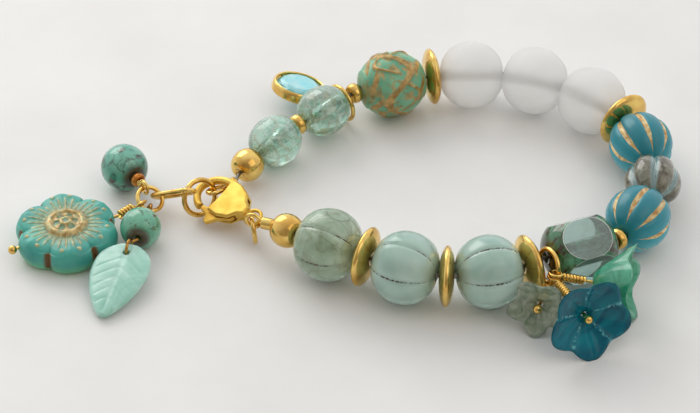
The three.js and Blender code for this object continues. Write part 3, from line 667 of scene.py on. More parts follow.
@dataclass(frozen=True)
class Gold(Finish):
    """Gold-plated brass. Polished it mirrors its surroundings; tumbled or cast it is satin."""

    colour: str = "#F2D07A"
    shade: str = "#D6A654"
    roughness: float = 0.17
    grain: float = 0.12

    def dress(self, add: Adder, here: bpy.types.NodeSocket) -> dict[str, Any]:
        """Plating that varies a little in tone, with fine handling marks.

        Args:
            add: adds a node to the material's tree.
            here: the place on the piece, in object coordinates.

        Returns:
            The shader's inputs by name.
        """
        tone = add(NOISE, {"Scale": per_size(2.2)})
        colour = add(RAMP, [tone], ((0.3, self.shade), (0.62, self.colour)))
        fine = add(NOISE, {"Scale": per_size(self.grain), "Detail": 4.0, "Roughness": 0.7})
        rough = add(RANGE, {"Value": fine, "To Min": self.roughness * 0.75, "To Max": self.roughness * 1.35})
        relief = add(BUMP, {"Height": fine, "Distance": 0.006 * MM, "Strength": 0.35})
        return {"Base Color": colour, "Metallic": 1.0, "Roughness": rough, "Normal": relief}


@dataclass(frozen=True)
class Steel(Finish):
    """Nylon-coated steel beading wire: grey and a little dull."""

    def dress(self, add: Adder, here: bpy.types.NodeSocket) -> dict[str, Any]:
        """Fine lay lines of the wire.

        Args:
            add: adds a node to the material's tree.
            here: the place on the piece, in object coordinates.

        Returns:
            The shader's inputs by name.
        """
        lay = add(NOISE, {"Scale": per_size(0.25)})
        colour = add(RAMP, [lay], ((0.35, "#77756F"), (0.7, "#B4B1A8")))
        relief = add(BUMP, {"Height": lay, "Distance": 0.02 * MM, "Strength": 0.5})
        return {"Base Color": colour, "Metallic": 0.9, "Roughness": 0.35, "Normal": relief}


@dataclass(frozen=True)
class OpalGlass(Finish):
    """Pressed opal glass: milky, fire-polished, with brown dirt in its grooves; a glow from inside and a pale
    line beside each groove are painted light.
    """

    light: str = "#CDE5DC"
    deep: str = "#A6C9BC"
    # The colour of the painted glow low in the glass.
    glow: str = "#CDEDE6"
    vein: str = "#77774A"
    veins: float = 0.0

    def dress(self, add: Adder, here: bpy.types.NodeSocket) -> dict[str, Any]:
        """Milky swirls, tiny bubbles, a broken row of specks along each groove, a painted highlight beside it
        and a painted glow low down.

        Args:
            add: adds a node to the material's tree.
            here: the place on the piece, in object coordinates.

        Returns:
            The shader's inputs by name.
        """
        swirl = add(NOISE, {"Scale": per_size(6.0), "Distortion": 0.6})
        milk = add(RAMP, [swirl], ((0.3, self.deep), (0.7, self.light)))
        # Painted light: the glass is painted paler low down, a glow where light gathers and leaves towards
        # the table.
        level = add("ShaderNodeSeparateXYZ", [here]).node.outputs["Z"]
        low = add(RANGE, {"Value": level, "From Min": 5.5 * MM, "From Max": 0.8 * MM, "To Max": 0.75})
        body = add(MIX, [low, milk, linear(self.glow)], data_type="RGBA")
        # Olive smears and thin dark cracks run through a veined bead.
        smear = add(NOISE, {"Scale": per_size(3.2), "Detail": 3.0, "Distortion": 1.4})
        smeared = add(RANGE, {"Value": smear, "From Min": 0.5, "From Max": 0.7, "To Max": self.veins})
        body = add(MIX, [smeared, body, linear(self.vein)], data_type="RGBA")
        crack = add(VORONOI, {"Scale": per_size(5.5)}, feature="DISTANCE_TO_EDGE")
        line = add(RANGE, {"Value": crack, "From Min": 0.012, "From Max": 0.0, "To Max": self.veins})
        body = add(MIX, [line, body, linear("#4A3F28")], data_type="RGBA")
        # Each groove holds a row of dark specks, with a painted highlight in a pale line beside it.
        groove = add(MARK, attribute_name="groove")
        beside = add(RAMP, [groove], ((0.88, "#000000"), (0.915, "#8C8C8C"), (0.94, "#000000")))
        body = add(MIX, [beside, body, linear("#DCEFE8")], data_type="RGBA")
        row = add(RANGE, {"Value": groove, "From Min": 0.935, "From Max": 0.97})
        fleck = add(NOISE, {"Scale": per_size(0.6), "Detail": 4.0, "Roughness": 0.75})
        flecked = add(RANGE, {"Value": fleck, "From Min": 0.43, "From Max": 0.53})
        stretch = add(NOISE, {"Scale": per_size(4.5), "Detail": 1.0})
        part = add(RANGE, {"Value": stretch, "From Min": 0.36, "From Max": 0.5})
        dirt = add(MATH, [row, flecked], operation="MULTIPLY")
        dirt = add(MATH, [dirt, part], operation="MULTIPLY")
        body = add(MIX, [dirt, body, linear("#3E2411")], data_type="RGBA")
        pits = add(VORONOI, {"Scale": per_size(1.3)})
        bubble = add(RANGE, {"Value": pits, "From Min": 0.12, "From Max": 0.07, "To Max": 0.35})
        body = add(MIX, [bubble, body, linear("#CFE3DB")], data_type="RGBA")
        relief = add(BUMP, {"Height": bubble, "Distance": 0.05 * MM, "Strength": 0.3})
        solid = add(RANGE, {"Value": dirt, "To Min": 0.35, "To Max": 0.0})
        return {"Base Color": body, "Roughness": 0.14, "IOR": 1.5, "Transmission Weight": solid,
                "Subsurface Weight": 0.6, "Subsurface Radius": (1.0, 1.25, 1.15),
                "Subsurface Scale": 2.4 * MM, "Coat Weight": 0.3, "Coat Roughness": 0.06, "Normal": relief}


@dataclass(frozen=True)
class PicassoGlass(Finish):
    """Czech glass fired with a mottled brown skin over a green body, then polished or cut through."""

    body: str = "#4F8C6C"
    light: str = "#7FB394"
    skin: str = "#3B2510"
    clear: float = 0.0
    skin_share: float = 0.5

    def dress(self, add: Adder, here: bpy.types.NodeSocket) -> dict[str, Any]:
        """Green glass with patches and specks of brown; cut windows are clean.

        Args:
            add: adds a node to the material's tree.
            here: the place on the piece, in object coordinates.

        Returns:
            The shader's inputs by name.
        """
        cloud = add(NOISE, {"Scale": per_size(4.0), "Detail": 4.0, "Distortion": 1.0})
        glass = add(RAMP, [cloud], ((0.32, self.body), (0.68, self.light)))
        window = add(MARK, attribute_name="window")
        cleared = add(MATH, [window, 0.8], operation="MULTIPLY")
        glass = add(MIX, [cleared, glass, linear("#CDEBE8")], data_type="RGBA")
        blotch = add(NOISE, {"Scale": per_size(2.6), "Detail": 6.0, "Roughness": 0.68, "Distortion": 1.6})
        patch = add(RANGE, {"Value": blotch, "From Min": 0.66 - 0.26 * self.skin_share,
                            "From Max": 0.76 - 0.18 * self.skin_share})
        along = add(MARK, attribute_name="along")
        end = add(MATH, [along], operation="ABSOLUTE")
        rim = add(RANGE, {"Value": end, "From Min": 0.84, "From Max": 0.97, "To Max": 0.92})
        brown = add(MATH, [patch, rim], operation="MAXIMUM")
        kept = add(RANGE, {"Value": window, "To Min": 1.0, "To Max": 0.12})
        brown = add(MATH, [brown, kept], operation="MULTIPLY")
        colour = add(MIX, [brown, glass, linear(self.skin)], data_type="RGBA")
        solid = add(RANGE, {"Value": brown, "To Min": self.clear, "To Max": 0.0})
        through = add(MATH, [cleared, solid], operation="MAXIMUM")
        relief = add(BUMP, {"Height": cloud, "Distance": 0.04 * MM, "Strength": 0.3})
        return {"Base Color": colour, "Roughness": 0.1, "IOR": 1.52, "Transmission Weight": through,
                "Coat Weight": 0.4, "Coat Roughness": 0.04, "Subsurface Weight": 0.2,
                "Subsurface Radius": (1.0, 1.2, 1.1), "Subsurface Scale": 1.5 * MM, "Normal": relief}


@dataclass(frozen=True)
class PaintedGrooveGlass(Finish):
    """Etched teal glass, satin to the touch, with gold paint wiped into its grooves."""

    def dress(self, add: Adder, here: bpy.types.NodeSocket) -> dict[str, Any]:
        """Teal lobes, painted brighter low down as light would make them, and paint that tapers towards the
        holes.

        Args:
            add: adds a node to the material's tree.
            here: the place on the piece, in object coordinates.

        Returns:
            The shader's inputs by name.
        """
        # Painted light: the teal is painted brighter low down, a glow where light passes through to the
        # table.
        level = add("ShaderNodeSeparateXYZ", [here]).node.outputs["Z"]
        low = add(RANGE, {"Value": level, "From Min": 9.0 * MM, "From Max": 1.5 * MM})
        glass = add(RAMP, [low], ((0.0, "#2A93A2"), (0.5, "#38AEC2"), (1.0, "#7ADDEC")))
        along = add(MARK, attribute_name="along")
        end = add(MATH, [along], operation="ABSOLUTE")
        edge = add(RANGE, {"Value": end, "From Min": 0.5, "From Max": 0.95, "To Min": 0.77})
        groove = add(MARK, attribute_name="groove")
        inside = add(MATH, [groove, edge], operation="GREATER_THAN")
        wear = add(NOISE, {"Scale": per_size(0.8), "Detail": 4.0, "Roughness": 0.7})
        kept = add(RANGE, {"Value": wear, "From Min": 0.3, "From Max": 0.4})
        paint = add(MATH, [inside, kept], operation="MULTIPLY")
        tone = add(NOISE, {"Scale": per_size(0.9), "Detail": 3.0})
        gilt = add(RAMP, [tone], ((0.32, "#B5813F"), (0.5, "#DDBE82"), (0.68, "#EBDDB8")))
        colour = add(MIX, [paint, glass, gilt], data_type="RGBA")
        rough = add(RANGE, {"Value": paint, "To Min": 0.27, "To Max": 0.35})
        clear = add(RANGE, {"Value": paint, "To Min": 0.25, "To Max": 0.0})
        metal = add(MATH, [paint, 0.3], operation="MULTIPLY")
        grain = add(NOISE, {"Scale": per_size(0.16)})
        relief = add(BUMP, {"Height": grain, "Distance": 0.012 * MM, "Strength": 0.4})
        return {"Base Color": colour, "Roughness": rough, "IOR": 1.5, "Metallic": metal,
                "Transmission Weight": clear, "Subsurface Weight": 0.45,
                "Subsurface Radius": (0.5, 1.3, 1.3), "Subsurface Scale": 2.0 * MM, "Normal": relief}


@dataclass(frozen=True)
class BronzedGlass(Finish):
    """Clear aqua glass with a fired bronze coat on its lobes, left bare on the ridges."""

    def dress(self, add: Adder, here: bpy.types.NodeSocket) -> dict[str, Any]:
        """Dark lobes framed by pale ridges.

        Args:
            add: adds a node to the material's tree.
            here: the place on the piece, in object coordinates.

        Returns:
            The shader's inputs by name.
        """
        groove = add(MARK, attribute_name="groove")
        lobe = add(RANGE, {"Value": groove, "From Min": 0.88, "From Max": 0.6})
        cloud = add(NOISE, {"Scale": per_size(2.0), "Detail": 4.0, "Distortion": 0.8})
        coat = add(RAMP, [cloud], ((0.3, "#3E3527"), (0.5, "#7C745E"), (0.7, "#B2B5A4")))
        colour = add(MIX, [lobe, linear("#B4DEDF"), coat], data_type="RGBA")
        clear = add(RANGE, {"Value": lobe, "To Min": 0.7, "To Max": 0.4})
        relief = add(BUMP, {"Height": cloud, "Distance": 0.06 * MM, "Strength": 0.4})
        return {"Base Color": colour, "Roughness": 0.08, "IOR": 1.52, "Transmission Weight": clear,
                "Coat Weight": 0.6, "Coat Roughness": 0.03, "Normal": relief}


@dataclass(frozen=True)
class FrostedGlass(Finish):
    """Clear glass etched in acid: light passes through, shapes do not."""

    def dress(self, add: Adder, here: bpy.types.NodeSocket) -> dict[str, Any]:
        """A fine etched grain.

        Args:
            add: adds a node to the material's tree.
            here: the place on the piece, in object coordinates.

        Returns:
            The shader's inputs by name.
        """
        cloud = add(NOISE, {"Scale": per_size(7.0)})
        tone = add(RAMP, [cloud], ((0.3, "#F8F8F6"), (0.7, "#FFFFFF")))
        grain = add(NOISE, {"Scale": per_size(0.18), "Detail": 3.0})
        relief = add(BUMP, {"Height": grain, "Distance": 0.02 * MM, "Strength": 0.4})
        return {"Base Color": tone, "Roughness": 0.48, "IOR": 1.22, "Transmission Weight": 0.65,
                "Subsurface Weight": 1.0, "Subsurface Radius": (1.0, 1.0, 1.0), "Subsurface Scale": 5 * MM,
                "Sheen Weight": 0.8, "Sheen Roughness": 0.7, "Normal": relief}


@dataclass(frozen=True)
class PatinaGlass(Finish):
    """Pressed matte green glass whose raised band is coloured with a copper wash."""

    def dress(self, add: Adder, here: bpy.types.NodeSocket) -> dict[str, Any]:
        """Green ground, rubbed copper on the relief.

        Args:
            add: adds a node to the material's tree.
            here: the place on the piece, in object coordinates.

        Returns:
            The shader's inputs by name.
        """
        cloud = add(NOISE, {"Scale": per_size(4.5), "Detail": 3.0})
        ground = add(RAMP, [cloud], ((0.3, "#5C9E7E"), (0.7, "#8CC9A4")))
        rub = add(NOISE, {"Scale": per_size(1.3), "Detail": 5.0, "Roughness": 0.7})
        wash = add(RANGE, {"Value": rub, "From Min": 0.22, "From Max": 0.42})
        band = add(MARK, attribute_name="raised")
        top = add(RANGE, {"Value": band, "From Min": 0.25, "From Max": 0.7})
        raised = add(MATH, [top, wash], operation="MULTIPLY")
        spill = add(NOISE, {"Scale": per_size(1.8), "Detail": 5.0, "Distortion": 1.0})
        stray = add(RANGE, {"Value": spill, "From Min": 0.49, "From Max": 0.62, "To Max": 0.8})
        copper = add(MATH, [raised, stray], operation="MAXIMUM")
        tone = add(NOISE, {"Scale": per_size(1.1), "Detail": 3.0})
        tint = add(RAMP, [tone], ((0.35, "#94733C"), (0.65, "#C9A76A")))
        colour = add(MIX, [copper, ground, tint], data_type="RGBA")
        metal = add(MATH, [copper, 0.35], operation="MULTIPLY")
        grain = add(NOISE, {"Scale": per_size(0.3), "Detail": 3.0})
        relief = add(BUMP, {"Height": grain, "Distance": 0.03 * MM, "Strength": 0.4})
        return {"Base Color": colour, "Roughness": 0.42, "IOR": 1.5, "Metallic": metal,
                "Subsurface Weight": 0.25, "Subsurface Radius": (0.8, 1.2, 1.0), "Subsurface Scale": 1.5 * MM,
                "Normal": relief}


@dataclass(frozen=True)
class CrackleGlass(Finish):
    """Clear aqua glass quenched so that it cracked inside; the cracks hold a gold tone, and their glint is
    painted.
    """

    def dress(self, add: Adder, here: bpy.types.NodeSocket) -> dict[str, Any]:
        """A bent net of soft cracks under a cloudy veil.

        Args:
            add: adds a node to the material's tree.
            here: the place on the piece, in object coordinates.

        Returns:
            The shader's inputs by name.
        """
        bend = add(NOISE, {"Scale": per_size(2.5)}).node.outputs["Color"]
        small = add("ShaderNodeVectorMath", {0: bend, "Scale": 1.2 * MM}, operation="SCALE")
        spot = add("ShaderNodeVectorMath", [here, small], operation="ADD")
        net = add(VORONOI, {"Vector": spot, "Scale": per_size(2.6)}, feature="DISTANCE_TO_EDGE")
        line = add(RANGE, {"Value": net, "From Min": 0.12, "From Max": 0.01, "To Max": 0.6})
        cloud = add(NOISE, {"Scale": per_size(2.4), "Detail": 4.0, "Distortion": 0.8})
        glass = add(RAMP, [cloud], ((0.3, "#9CD8C1"), (0.5, "#C6EFDF"), (0.72, "#E9FAF3")))
        # The cracks are painted between gold and pale; the pale is a painted glint where they catch the
        # light.
        tone = add(NOISE, {"Scale": per_size(1.5)})
        tint = add(RAMP, [tone], ((0.4, "#A8986A"), (0.6, "#DFE8DF")))
        colour = add(MIX, [line, glass, tint], data_type="RGBA")
        haze = add(NOISE, {"Scale": per_size(1.7), "Detail": 5.0, "Roughness": 0.7})
        veil = add(RANGE, {"Value": haze, "From Min": 0.42, "From Max": 0.62, "To Max": 0.7})
        solid = add(MATH, [line, veil], operation="MAXIMUM")
        clear = add(RANGE, {"Value": solid, "To Min": 0.9, "To Max": 0.3})
        relief = add(BUMP, {"Height": net, "Distance": 0.12 * MM, "Strength": 0.5})
        return {"Base Color": colour, "Roughness": 0.12, "IOR": 1.5, "Transmission Weight": clear,
                "Coat Weight": 0.4, "Coat Roughness": 0.05, "Normal": relief}


@dataclass(frozen=True)
class CoinGlass(Finish):
    """Pressed teal glass with a matte etched skin and a gold wash in its relief."""

    def dress(self, add: Adder, here: bpy.types.NodeSocket) -> dict[str, Any]:
        """Translucent teal with a painted lime glow low down, gilt relief and brown gilt notches.

        Args:
            add: adds a node to the material's tree.
            here: the place on the piece, in object coordinates.

        Returns:
            The shader's inputs by name.
        """
        cloud = add(NOISE, {"Scale": per_size(6.0), "Detail": 3.0})
        upper = add(RAMP, [cloud], ((0.3, "#34918A"), (0.7, "#57B6A6")))
        # Painted light: the glass is painted lime low down, a glow where light passes through it to the
        # table.
        level = add("ShaderNodeSeparateXYZ", [here]).node.outputs["Z"]
        low = add(RANGE, {"Value": level, "From Min": 2.6 * MM, "From Max": 0.3 * MM, "To Max": 0.85})
        glass = add(MIX, [low, upper, linear("#7CCB8E")], data_type="RGBA")
        wear = add(NOISE, {"Scale": per_size(0.8), "Detail": 5.0, "Roughness": 0.7})
        kept = add(RANGE, {"Value": wear, "From Min": 0.28, "From Max": 0.5})
        wash = add(MARK, attribute_name="gilt")
        gilded = add(MATH, [wash, kept], operation="MULTIPLY")
        tone = add(NOISE, {"Scale": per_size(0.7), "Detail": 3.0})
        gilt = add(RAMP, [tone], ((0.35, "#A07D44"), (0.65, "#D2BC86")))
        colour = add(MIX, [gilded, glass, gilt], data_type="RGBA")
        notch = add(MARK, attribute_name="notch")
        colour = add(MIX, [notch, colour, linear("#6E4A1A")], data_type="RGBA")
        metal = add(MATH, [gilded, 0.4], operation="MULTIPLY")
        grain = add(NOISE, {"Scale": per_size(0.2)})
        relief = add(BUMP, {"Height": grain, "Distance": 0.015 * MM, "Strength": 0.4})
        return {"Base Color": colour, "Roughness": 0.36, "IOR": 1.5, "Metallic": metal,
                "Subsurface Weight": 0.6, "Subsurface Radius": (0.6, 1.4, 1.2), "Subsurface Scale": 2.4 * MM,
                "Normal": relief}


@dataclass(frozen=True)
class PressedGlass(Finish):
    """Pressed glass of one body colour, with soft streaks from the mould and painted light along its creases.
    """

    light: str = "#A9D6C8"
    deep: str = "#86BDAD"
    roughness: float = 0.3
    clear: float = 0.0
    inner_light: float = 0.4
    streak: float = 5.0
    # The colour painted along the creases and its share: a painted highlight when pale, painted shade when
    # dark.
    crease: str = "#FFFFFF"
    painted_crease_lighting: float = 0.0
    crease_from: float = 0.9
    coat: float = 0.25
    index: float = 1.5

    def dress(self, add: Adder, here: bpy.types.NodeSocket) -> dict[str, Any]:
        """Streaks between the two tones, painted light along the creases and a faintly uneven skin.

        Args:
            add: adds a node to the material's tree.
            here: the place on the piece, in object coordinates.

        Returns:
            The shader's inputs by name.
        """
        flow = add(NOISE, {"Scale": per_size(self.streak), "Detail": 3.0, "Distortion": 2.2})
        body = add(RAMP, [flow], ((0.34, self.deep), (0.66, self.light)))
        # Painted light: the crease colour stands in for light there, a painted highlight where it is pale and
        # painted shade where it is dark.
        groove = add(MARK, attribute_name="groove")
        line = add(RANGE, {"Value": groove, "From Min": self.crease_from, "To Max": self.painted_crease_lighting})
        break_up = add(NOISE, {"Scale": per_size(0.5), "Detail": 4.0})
        broken = add(RANGE, {"Value": break_up, "From Min": 0.45, "From Max": 0.6})
        share = add(MATH, [line, broken], operation="MULTIPLY")
        colour = add(MIX, [share, body, linear(self.crease)], data_type="RGBA")
        swell = add(NOISE, {"Scale": per_size(1.2)})
        relief = add(BUMP, {"Height": swell, "Distance": 0.05 * MM, "Strength": 0.3})
        return {"Base Color": colour, "Roughness": self.roughness, "IOR": self.index,
                "Transmission Weight": self.clear, "Subsurface Weight": self.inner_light,
                "Subsurface Radius": (0.8, 1.2, 1.0), "Subsurface Scale": 2.0 * MM, "Coat Weight": self.coat,
                "Coat Roughness": 0.04, "Normal": relief}


@dataclass(frozen=True)
class CutCrystal(Finish):
    """Aqua crystal, cut and polished, foiled behind so that it throws its colour back."""

    colour: str = "#8BF0FA"
    roughness: float = 0.02

    def dress(self, add: Adder, here: bpy.types.NodeSocket) -> dict[str, Any]:
        """A tint a little deeper in places.

        Args:
            add: adds a node to the material's tree.
            here: the place on the piece, in object coordinates.

        Returns:
            The shader's inputs by name.
        """
        cloud = add(NOISE, {"Scale": per_size(3.0)})
        tone = add(RAMP, [cloud], ((0.3, self.colour), (0.7, "#C9F8FD")))
        return {"Base Color": tone, "Roughness": self.roughness, "IOR": 1.55, "Transmission Weight": 0.3}


POLISHED = Gold("polished_gold_plate")
SATIN = Gold("satin_cast_gold_plate", colour="#EBC763", shade="#D9AC4A", roughness=0.42, grain=0.2)
DARK_GOLD = Gold("antique_gold_plate", colour="#C99A50", shade="#8E6330", roughness=0.22)
STEEL = Steel("coated_steel_wire")


# ------------------------------------------------------------------ round wire


@dataclass
class Wires:
    """Polylines that a round wire follows, some ending in a ball."""

    radius: float
    step: float = 0.22
    sides: int = 12
    points: list[np.ndarray] = field(default_factory=list)
    closed: list[bool] = field(default_factory=list)
    balls: dict[int, float] = field(default_factory=dict)

    def run(self, points: np.ndarray, closed: bool = False, ball: float = 0.0) -> None:
        """Adds one wire.

        Args:
            points: the line that it follows.
            closed: whether it ends where it starts.
            ball: the radius of the ball on its last point, if any.
        """
        self.points.append(np.asarray(points, float))
        self.closed.append(closed)
        if ball:
            self.balls[sum(len(p) for p in self.points) - 1] = ball

    def mesh(self, tree: ShapeTree, material: bpy.types.Material) -> bpy.types.Mesh:
        """Sweeps the wires, whose points are already in the part's frame.

        Args:
            tree: the tree that sweeps round wire.
            material: the finish of the wire.

        Returns:
            The mesh.
        """
        edges, start = [], 0
        for line, closed in zip(self.points, self.closed):
            edges += [(start + i, start + i + 1) for i in range(len(line) - 1)]
            if closed:
                edges.append((start + len(line) - 1, start))
            start += len(line)
        path = bpy.data.meshes.new("wire_path")
        path.from_pydata((np.concatenate(self.points) * MM).tolist(), edges, [])
        heads = np.zeros(start, np.float32)
        for index, ball in self.balls.items():
            heads[index] = ball * MM
        path.attributes.new("head", "FLOAT", "POINT").data.foreach_set("value", heads)
        values = {"Radius": self.radius * MM, "Step": self.step * MM, "Sides": self.sides,
                  "Material": material}
        return tree.make(path, values, np.eye(4))

    def stand(self, tree: ShapeTree, node: str, finish: Finish = POLISHED,
              slot: Slot = Slot.GOLD) -> None:
        """Sweeps the wires and stands them for a CAD node.

        Args:
            tree: the tree that sweeps round wire.
            node: the CAD node.
            finish: their finish.
            slot: the slot of that finish.
        """
        stand_for(self.mesh(tree, finish.material()), node, slot)


# ------------------------------------------------------------------ the strand


@dataclass(frozen=True)
class BeadForm:
    """The form of a strung bead: a bulging body, plain or grooved from hole to hole."""

    diameter: float
    length: float
    power: float = 2.0
    lobes: int = 0
    depth: float = 0.0
    sharpness: float = 3.0
    around: int = 96
    rows: int = 44
    bore: float = 0.9
    lip: float = 0.25


@dataclass(frozen=True)
class BeadStyle:
    """A form with its finish."""

    form: BeadForm
    finish: Finish
    slot: Slot


MELON_FORM = BeadForm(12.0, 10.5, 2.05, lobes=6, depth=0.35, sharpness=16, around=120)


class BeadKind(Enum):
    """Every kind of strung bead."""

    GOLD_BEAD = BeadStyle(BeadForm(5.7, 4.8, around=48, rows=28), POLISHED, Slot.GOLD)
    OLIVE_MELON = BeadStyle(MELON_FORM,
                            OpalGlass("olive_veined_opal_glass", "#C9DCC4", "#A6BEA4", veins=0.55),
                            Slot.SEA_GREEN)
    MELON = BeadStyle(MELON_FORM, OpalGlass("sea_green_opal_glass"), Slot.SEA_GREEN)
    DISC = BeadStyle(BeadForm(10.0, 2.5, 1.85, around=72, rows=26, lip=0.5), POLISHED, Slot.GOLD)
    SPACER = BeadStyle(BeadForm(3.6, 1.8, 2.1, around=40, rows=18, lip=0.3), POLISHED, Slot.GOLD)
    TEAL_MELON = BeadStyle(BeadForm(10.8, 10.6, 2.0, lobes=8, depth=0.95, sharpness=4.5, around=144, rows=48),
                           PaintedGrooveGlass("etched_teal_glass_gilt_grooves"), Slot.TEAL)
    FLUTED = BeadStyle(BeadForm(9.6, 9.2, 2.0, lobes=6, depth=1.1, sharpness=2.6, around=120, rows=44),
                       BronzedGlass("bronze_coated_glass"), Slot.BRONZE)
    FROSTED = BeadStyle(BeadForm(11.9, 11.0), FrostedGlass("acid_frosted_glass"), Slot.FROSTED)
    CRACKLE = BeadStyle(BeadForm(8.8, 8.7), CrackleGlass("crackle_glass_aqua"), Slot.CRACKLE)
    FACETED = BeadStyle(BeadForm(11.8, 12.0, 2.15, around=64, rows=32),
                        PicassoGlass("clear_green_picasso_glass", "#2F7A4C", "#6DB086", clear=0.2,
                                     skin_share=0.9),
                        Slot.SPECKLED)
    RELIEF = BeadStyle(BeadForm(12.0, 11.7, 2.05, around=160, rows=80),
                       PatinaGlass("matte_green_copper_relief"), Slot.PATINA)


@dataclass(frozen=True)
class StrungBead:
    """One bead on the strand: the heading of its hole, in degrees, and its turn about it."""

    name: str
    kind: BeadKind
    heading: float
    spin: float = 0.0


@dataclass
class Strand:
    """The beads on their wire, from the clasp's tail round to its hook."""

    tree: ShapeTree
    beads: tuple[StrungBead, ...] = (
        StrungBead("gold_bead_1", BeadKind.GOLD_BEAD, -42),
        StrungBead("melon_bead_1", BeadKind.OLIVE_MELON, -27, 26),
        StrungBead("gold_disc_1", BeadKind.DISC, -26),
        StrungBead("melon_bead_2", BeadKind.MELON, -21, 12),
        StrungBead("gold_disc_2", BeadKind.DISC, -4),
        StrungBead("melon_bead_3", BeadKind.MELON, 13, 10),
        StrungBead("gold_disc_3", BeadKind.DISC, 23),
        StrungBead("faceted_bead", BeadKind.FACETED, 23),
        StrungBead("gold_spacer_1", BeadKind.SPACER, 38),
        StrungBead("teal_melon_bead_1", BeadKind.TEAL_MELON, 59),
        StrungBead("fluted_bead", BeadKind.FLUTED, 83),
        StrungBead("teal_melon_bead_2", BeadKind.TEAL_MELON, 107),
        StrungBead("gold_disc_4", BeadKind.DISC, 124),
        StrungBead("frosted_bead_1", BeadKind.FROSTED, 138),
        StrungBead("frosted_bead_2", BeadKind.FROSTED, 160),
        StrungBead("frosted_bead_3", BeadKind.FROSTED, 182),
        StrungBead("gold_disc_5", BeadKind.DISC, 192),
        StrungBead("relief_bead", BeadKind.RELIEF, 199),
        StrungBead("gold_spacer_2", BeadKind.SPACER, 217),
        StrungBead("crackle_bead_1", BeadKind.CRACKLE, 218),
        StrungBead("gold_spacer_3", BeadKind.SPACER, 221),
        StrungBead("crackle_bead_2", BeadKind.CRACKLE, 227),
        StrungBead("gold_bead_2", BeadKind.GOLD_BEAD, 235),
    )
    windows: int = 5
    window_turn: float = 30.0
    window_depth: float = 1.2
    window_easing: float = 0.04
    band_waves: int = 3
    band_half: float = 1.15
    scroll_half: float = 0.55
    relief: float = 0.35
    band_groove: float = 0.22

    def place(self, index: int) -> np.ndarray:
        """The place of a bead: its hole heads along the strand and tips with its neighbours' heights.

        Args:
            index: its number along the strand.

        Returns:
            Its place, in millimetres.
        """
        middles = [box_middle(bead.name) for bead in self.beads]
        before, after = middles[max(0, index - 1)], middles[min(len(middles) - 1, index + 1)]
        run = math.hypot(after[0] - before[0], after[1] - before[1])
        heading = math.radians(self.beads[index].heading)
        axis = [math.cos(heading), math.sin(heading), (after[2] - before[2]) / run]
        return frame_at(middles[index], axis)

    def hole_points(self, index: int) -> list[np.ndarray]:
        """Where the wire enters and leaves a bead.

        Args:
            index: its number along the strand.

        Returns:
            Both ends of its hole.
        """
        place = self.place(index)
        half = self.beads[index].kind.value.form.length / 2
        return [place[:3, 3] - place[:3, 2] * half, place[:3, 3] + place[:3, 2] * half]

    def turned_mesh(self, form: BeadForm, material: bpy.types.Material, place: np.ndarray) -> bpy.types.Mesh:
        """A bead straight from the tree.

        Args:
            form: its sizes.
            material: its finish.
            place: where its hole lies.

        Returns:
            The mesh in the part's frame.
        """
        values = {"Diameter": form.diameter * MM, "Length": form.length * MM, "Bore": form.bore * MM,
                  "Lip": form.lip * MM, "Power": form.power, "Groove Depth": form.depth * MM,
                  "Groove Sharpness": form.sharpness, "Lobes": form.lobes, "Around": form.around,
                  "Rows": form.rows, "Material": material}
        return self.tree.make(bpy.data.meshes.new("seed"), values, place)

    def window_cut_mesh(self, form: BeadForm, material: bpy.types.Material,
                        place: np.ndarray) -> bpy.types.Mesh:
        """A bead with a ring of broad flat windows cut round it, their edges slightly eased.

        Args:
            form: the bead before it is cut.
            material: its finish.
            place: where its hole lies.

        Returns:
            The mesh, with its windows marked.
        """
        mesh = self.turned_mesh(form, material, np.eye(4))
        shell = bmesh.new()
        shell.from_mesh(mesh)
        for turn in range(self.windows):
            angle = math.radians(self.window_turn) + TURN * turn / self.windows
            out = Vector((math.cos(angle), math.sin(angle), 0))
            cut = bmesh.ops.bisect_plane(shell, geom=shell.verts[:] + shell.edges[:] + shell.faces[:],
                                         plane_co=out * (form.diameter / 2 - self.window_depth) * MM,
                                         plane_no=out, clear_outer=True)
            rim = [e for e in cut["geom_cut"] if isinstance(e, bmesh.types.BMEdge)]
            for face in bmesh.ops.contextual_create(shell, geom=rim)["faces"]:
                face.smooth = False
        bmesh.ops.recalc_face_normals(shell, faces=shell.faces)
        edges = {edge for face in shell.faces if not face.smooth for edge in face.edges}
        bmesh.ops.bevel(shell, geom=list(edges), offset=self.window_easing * MM, segments=2, affect="EDGES",
                        profile=0.5)
        window = shell.faces.layers.float.new("window")
        for face in shell.faces:
            face[window] = float(not face.smooth and face.calc_area() > MM * MM)
        shell.to_mesh(mesh)
        shell.free()
        put_at(mesh, place)
        return mesh

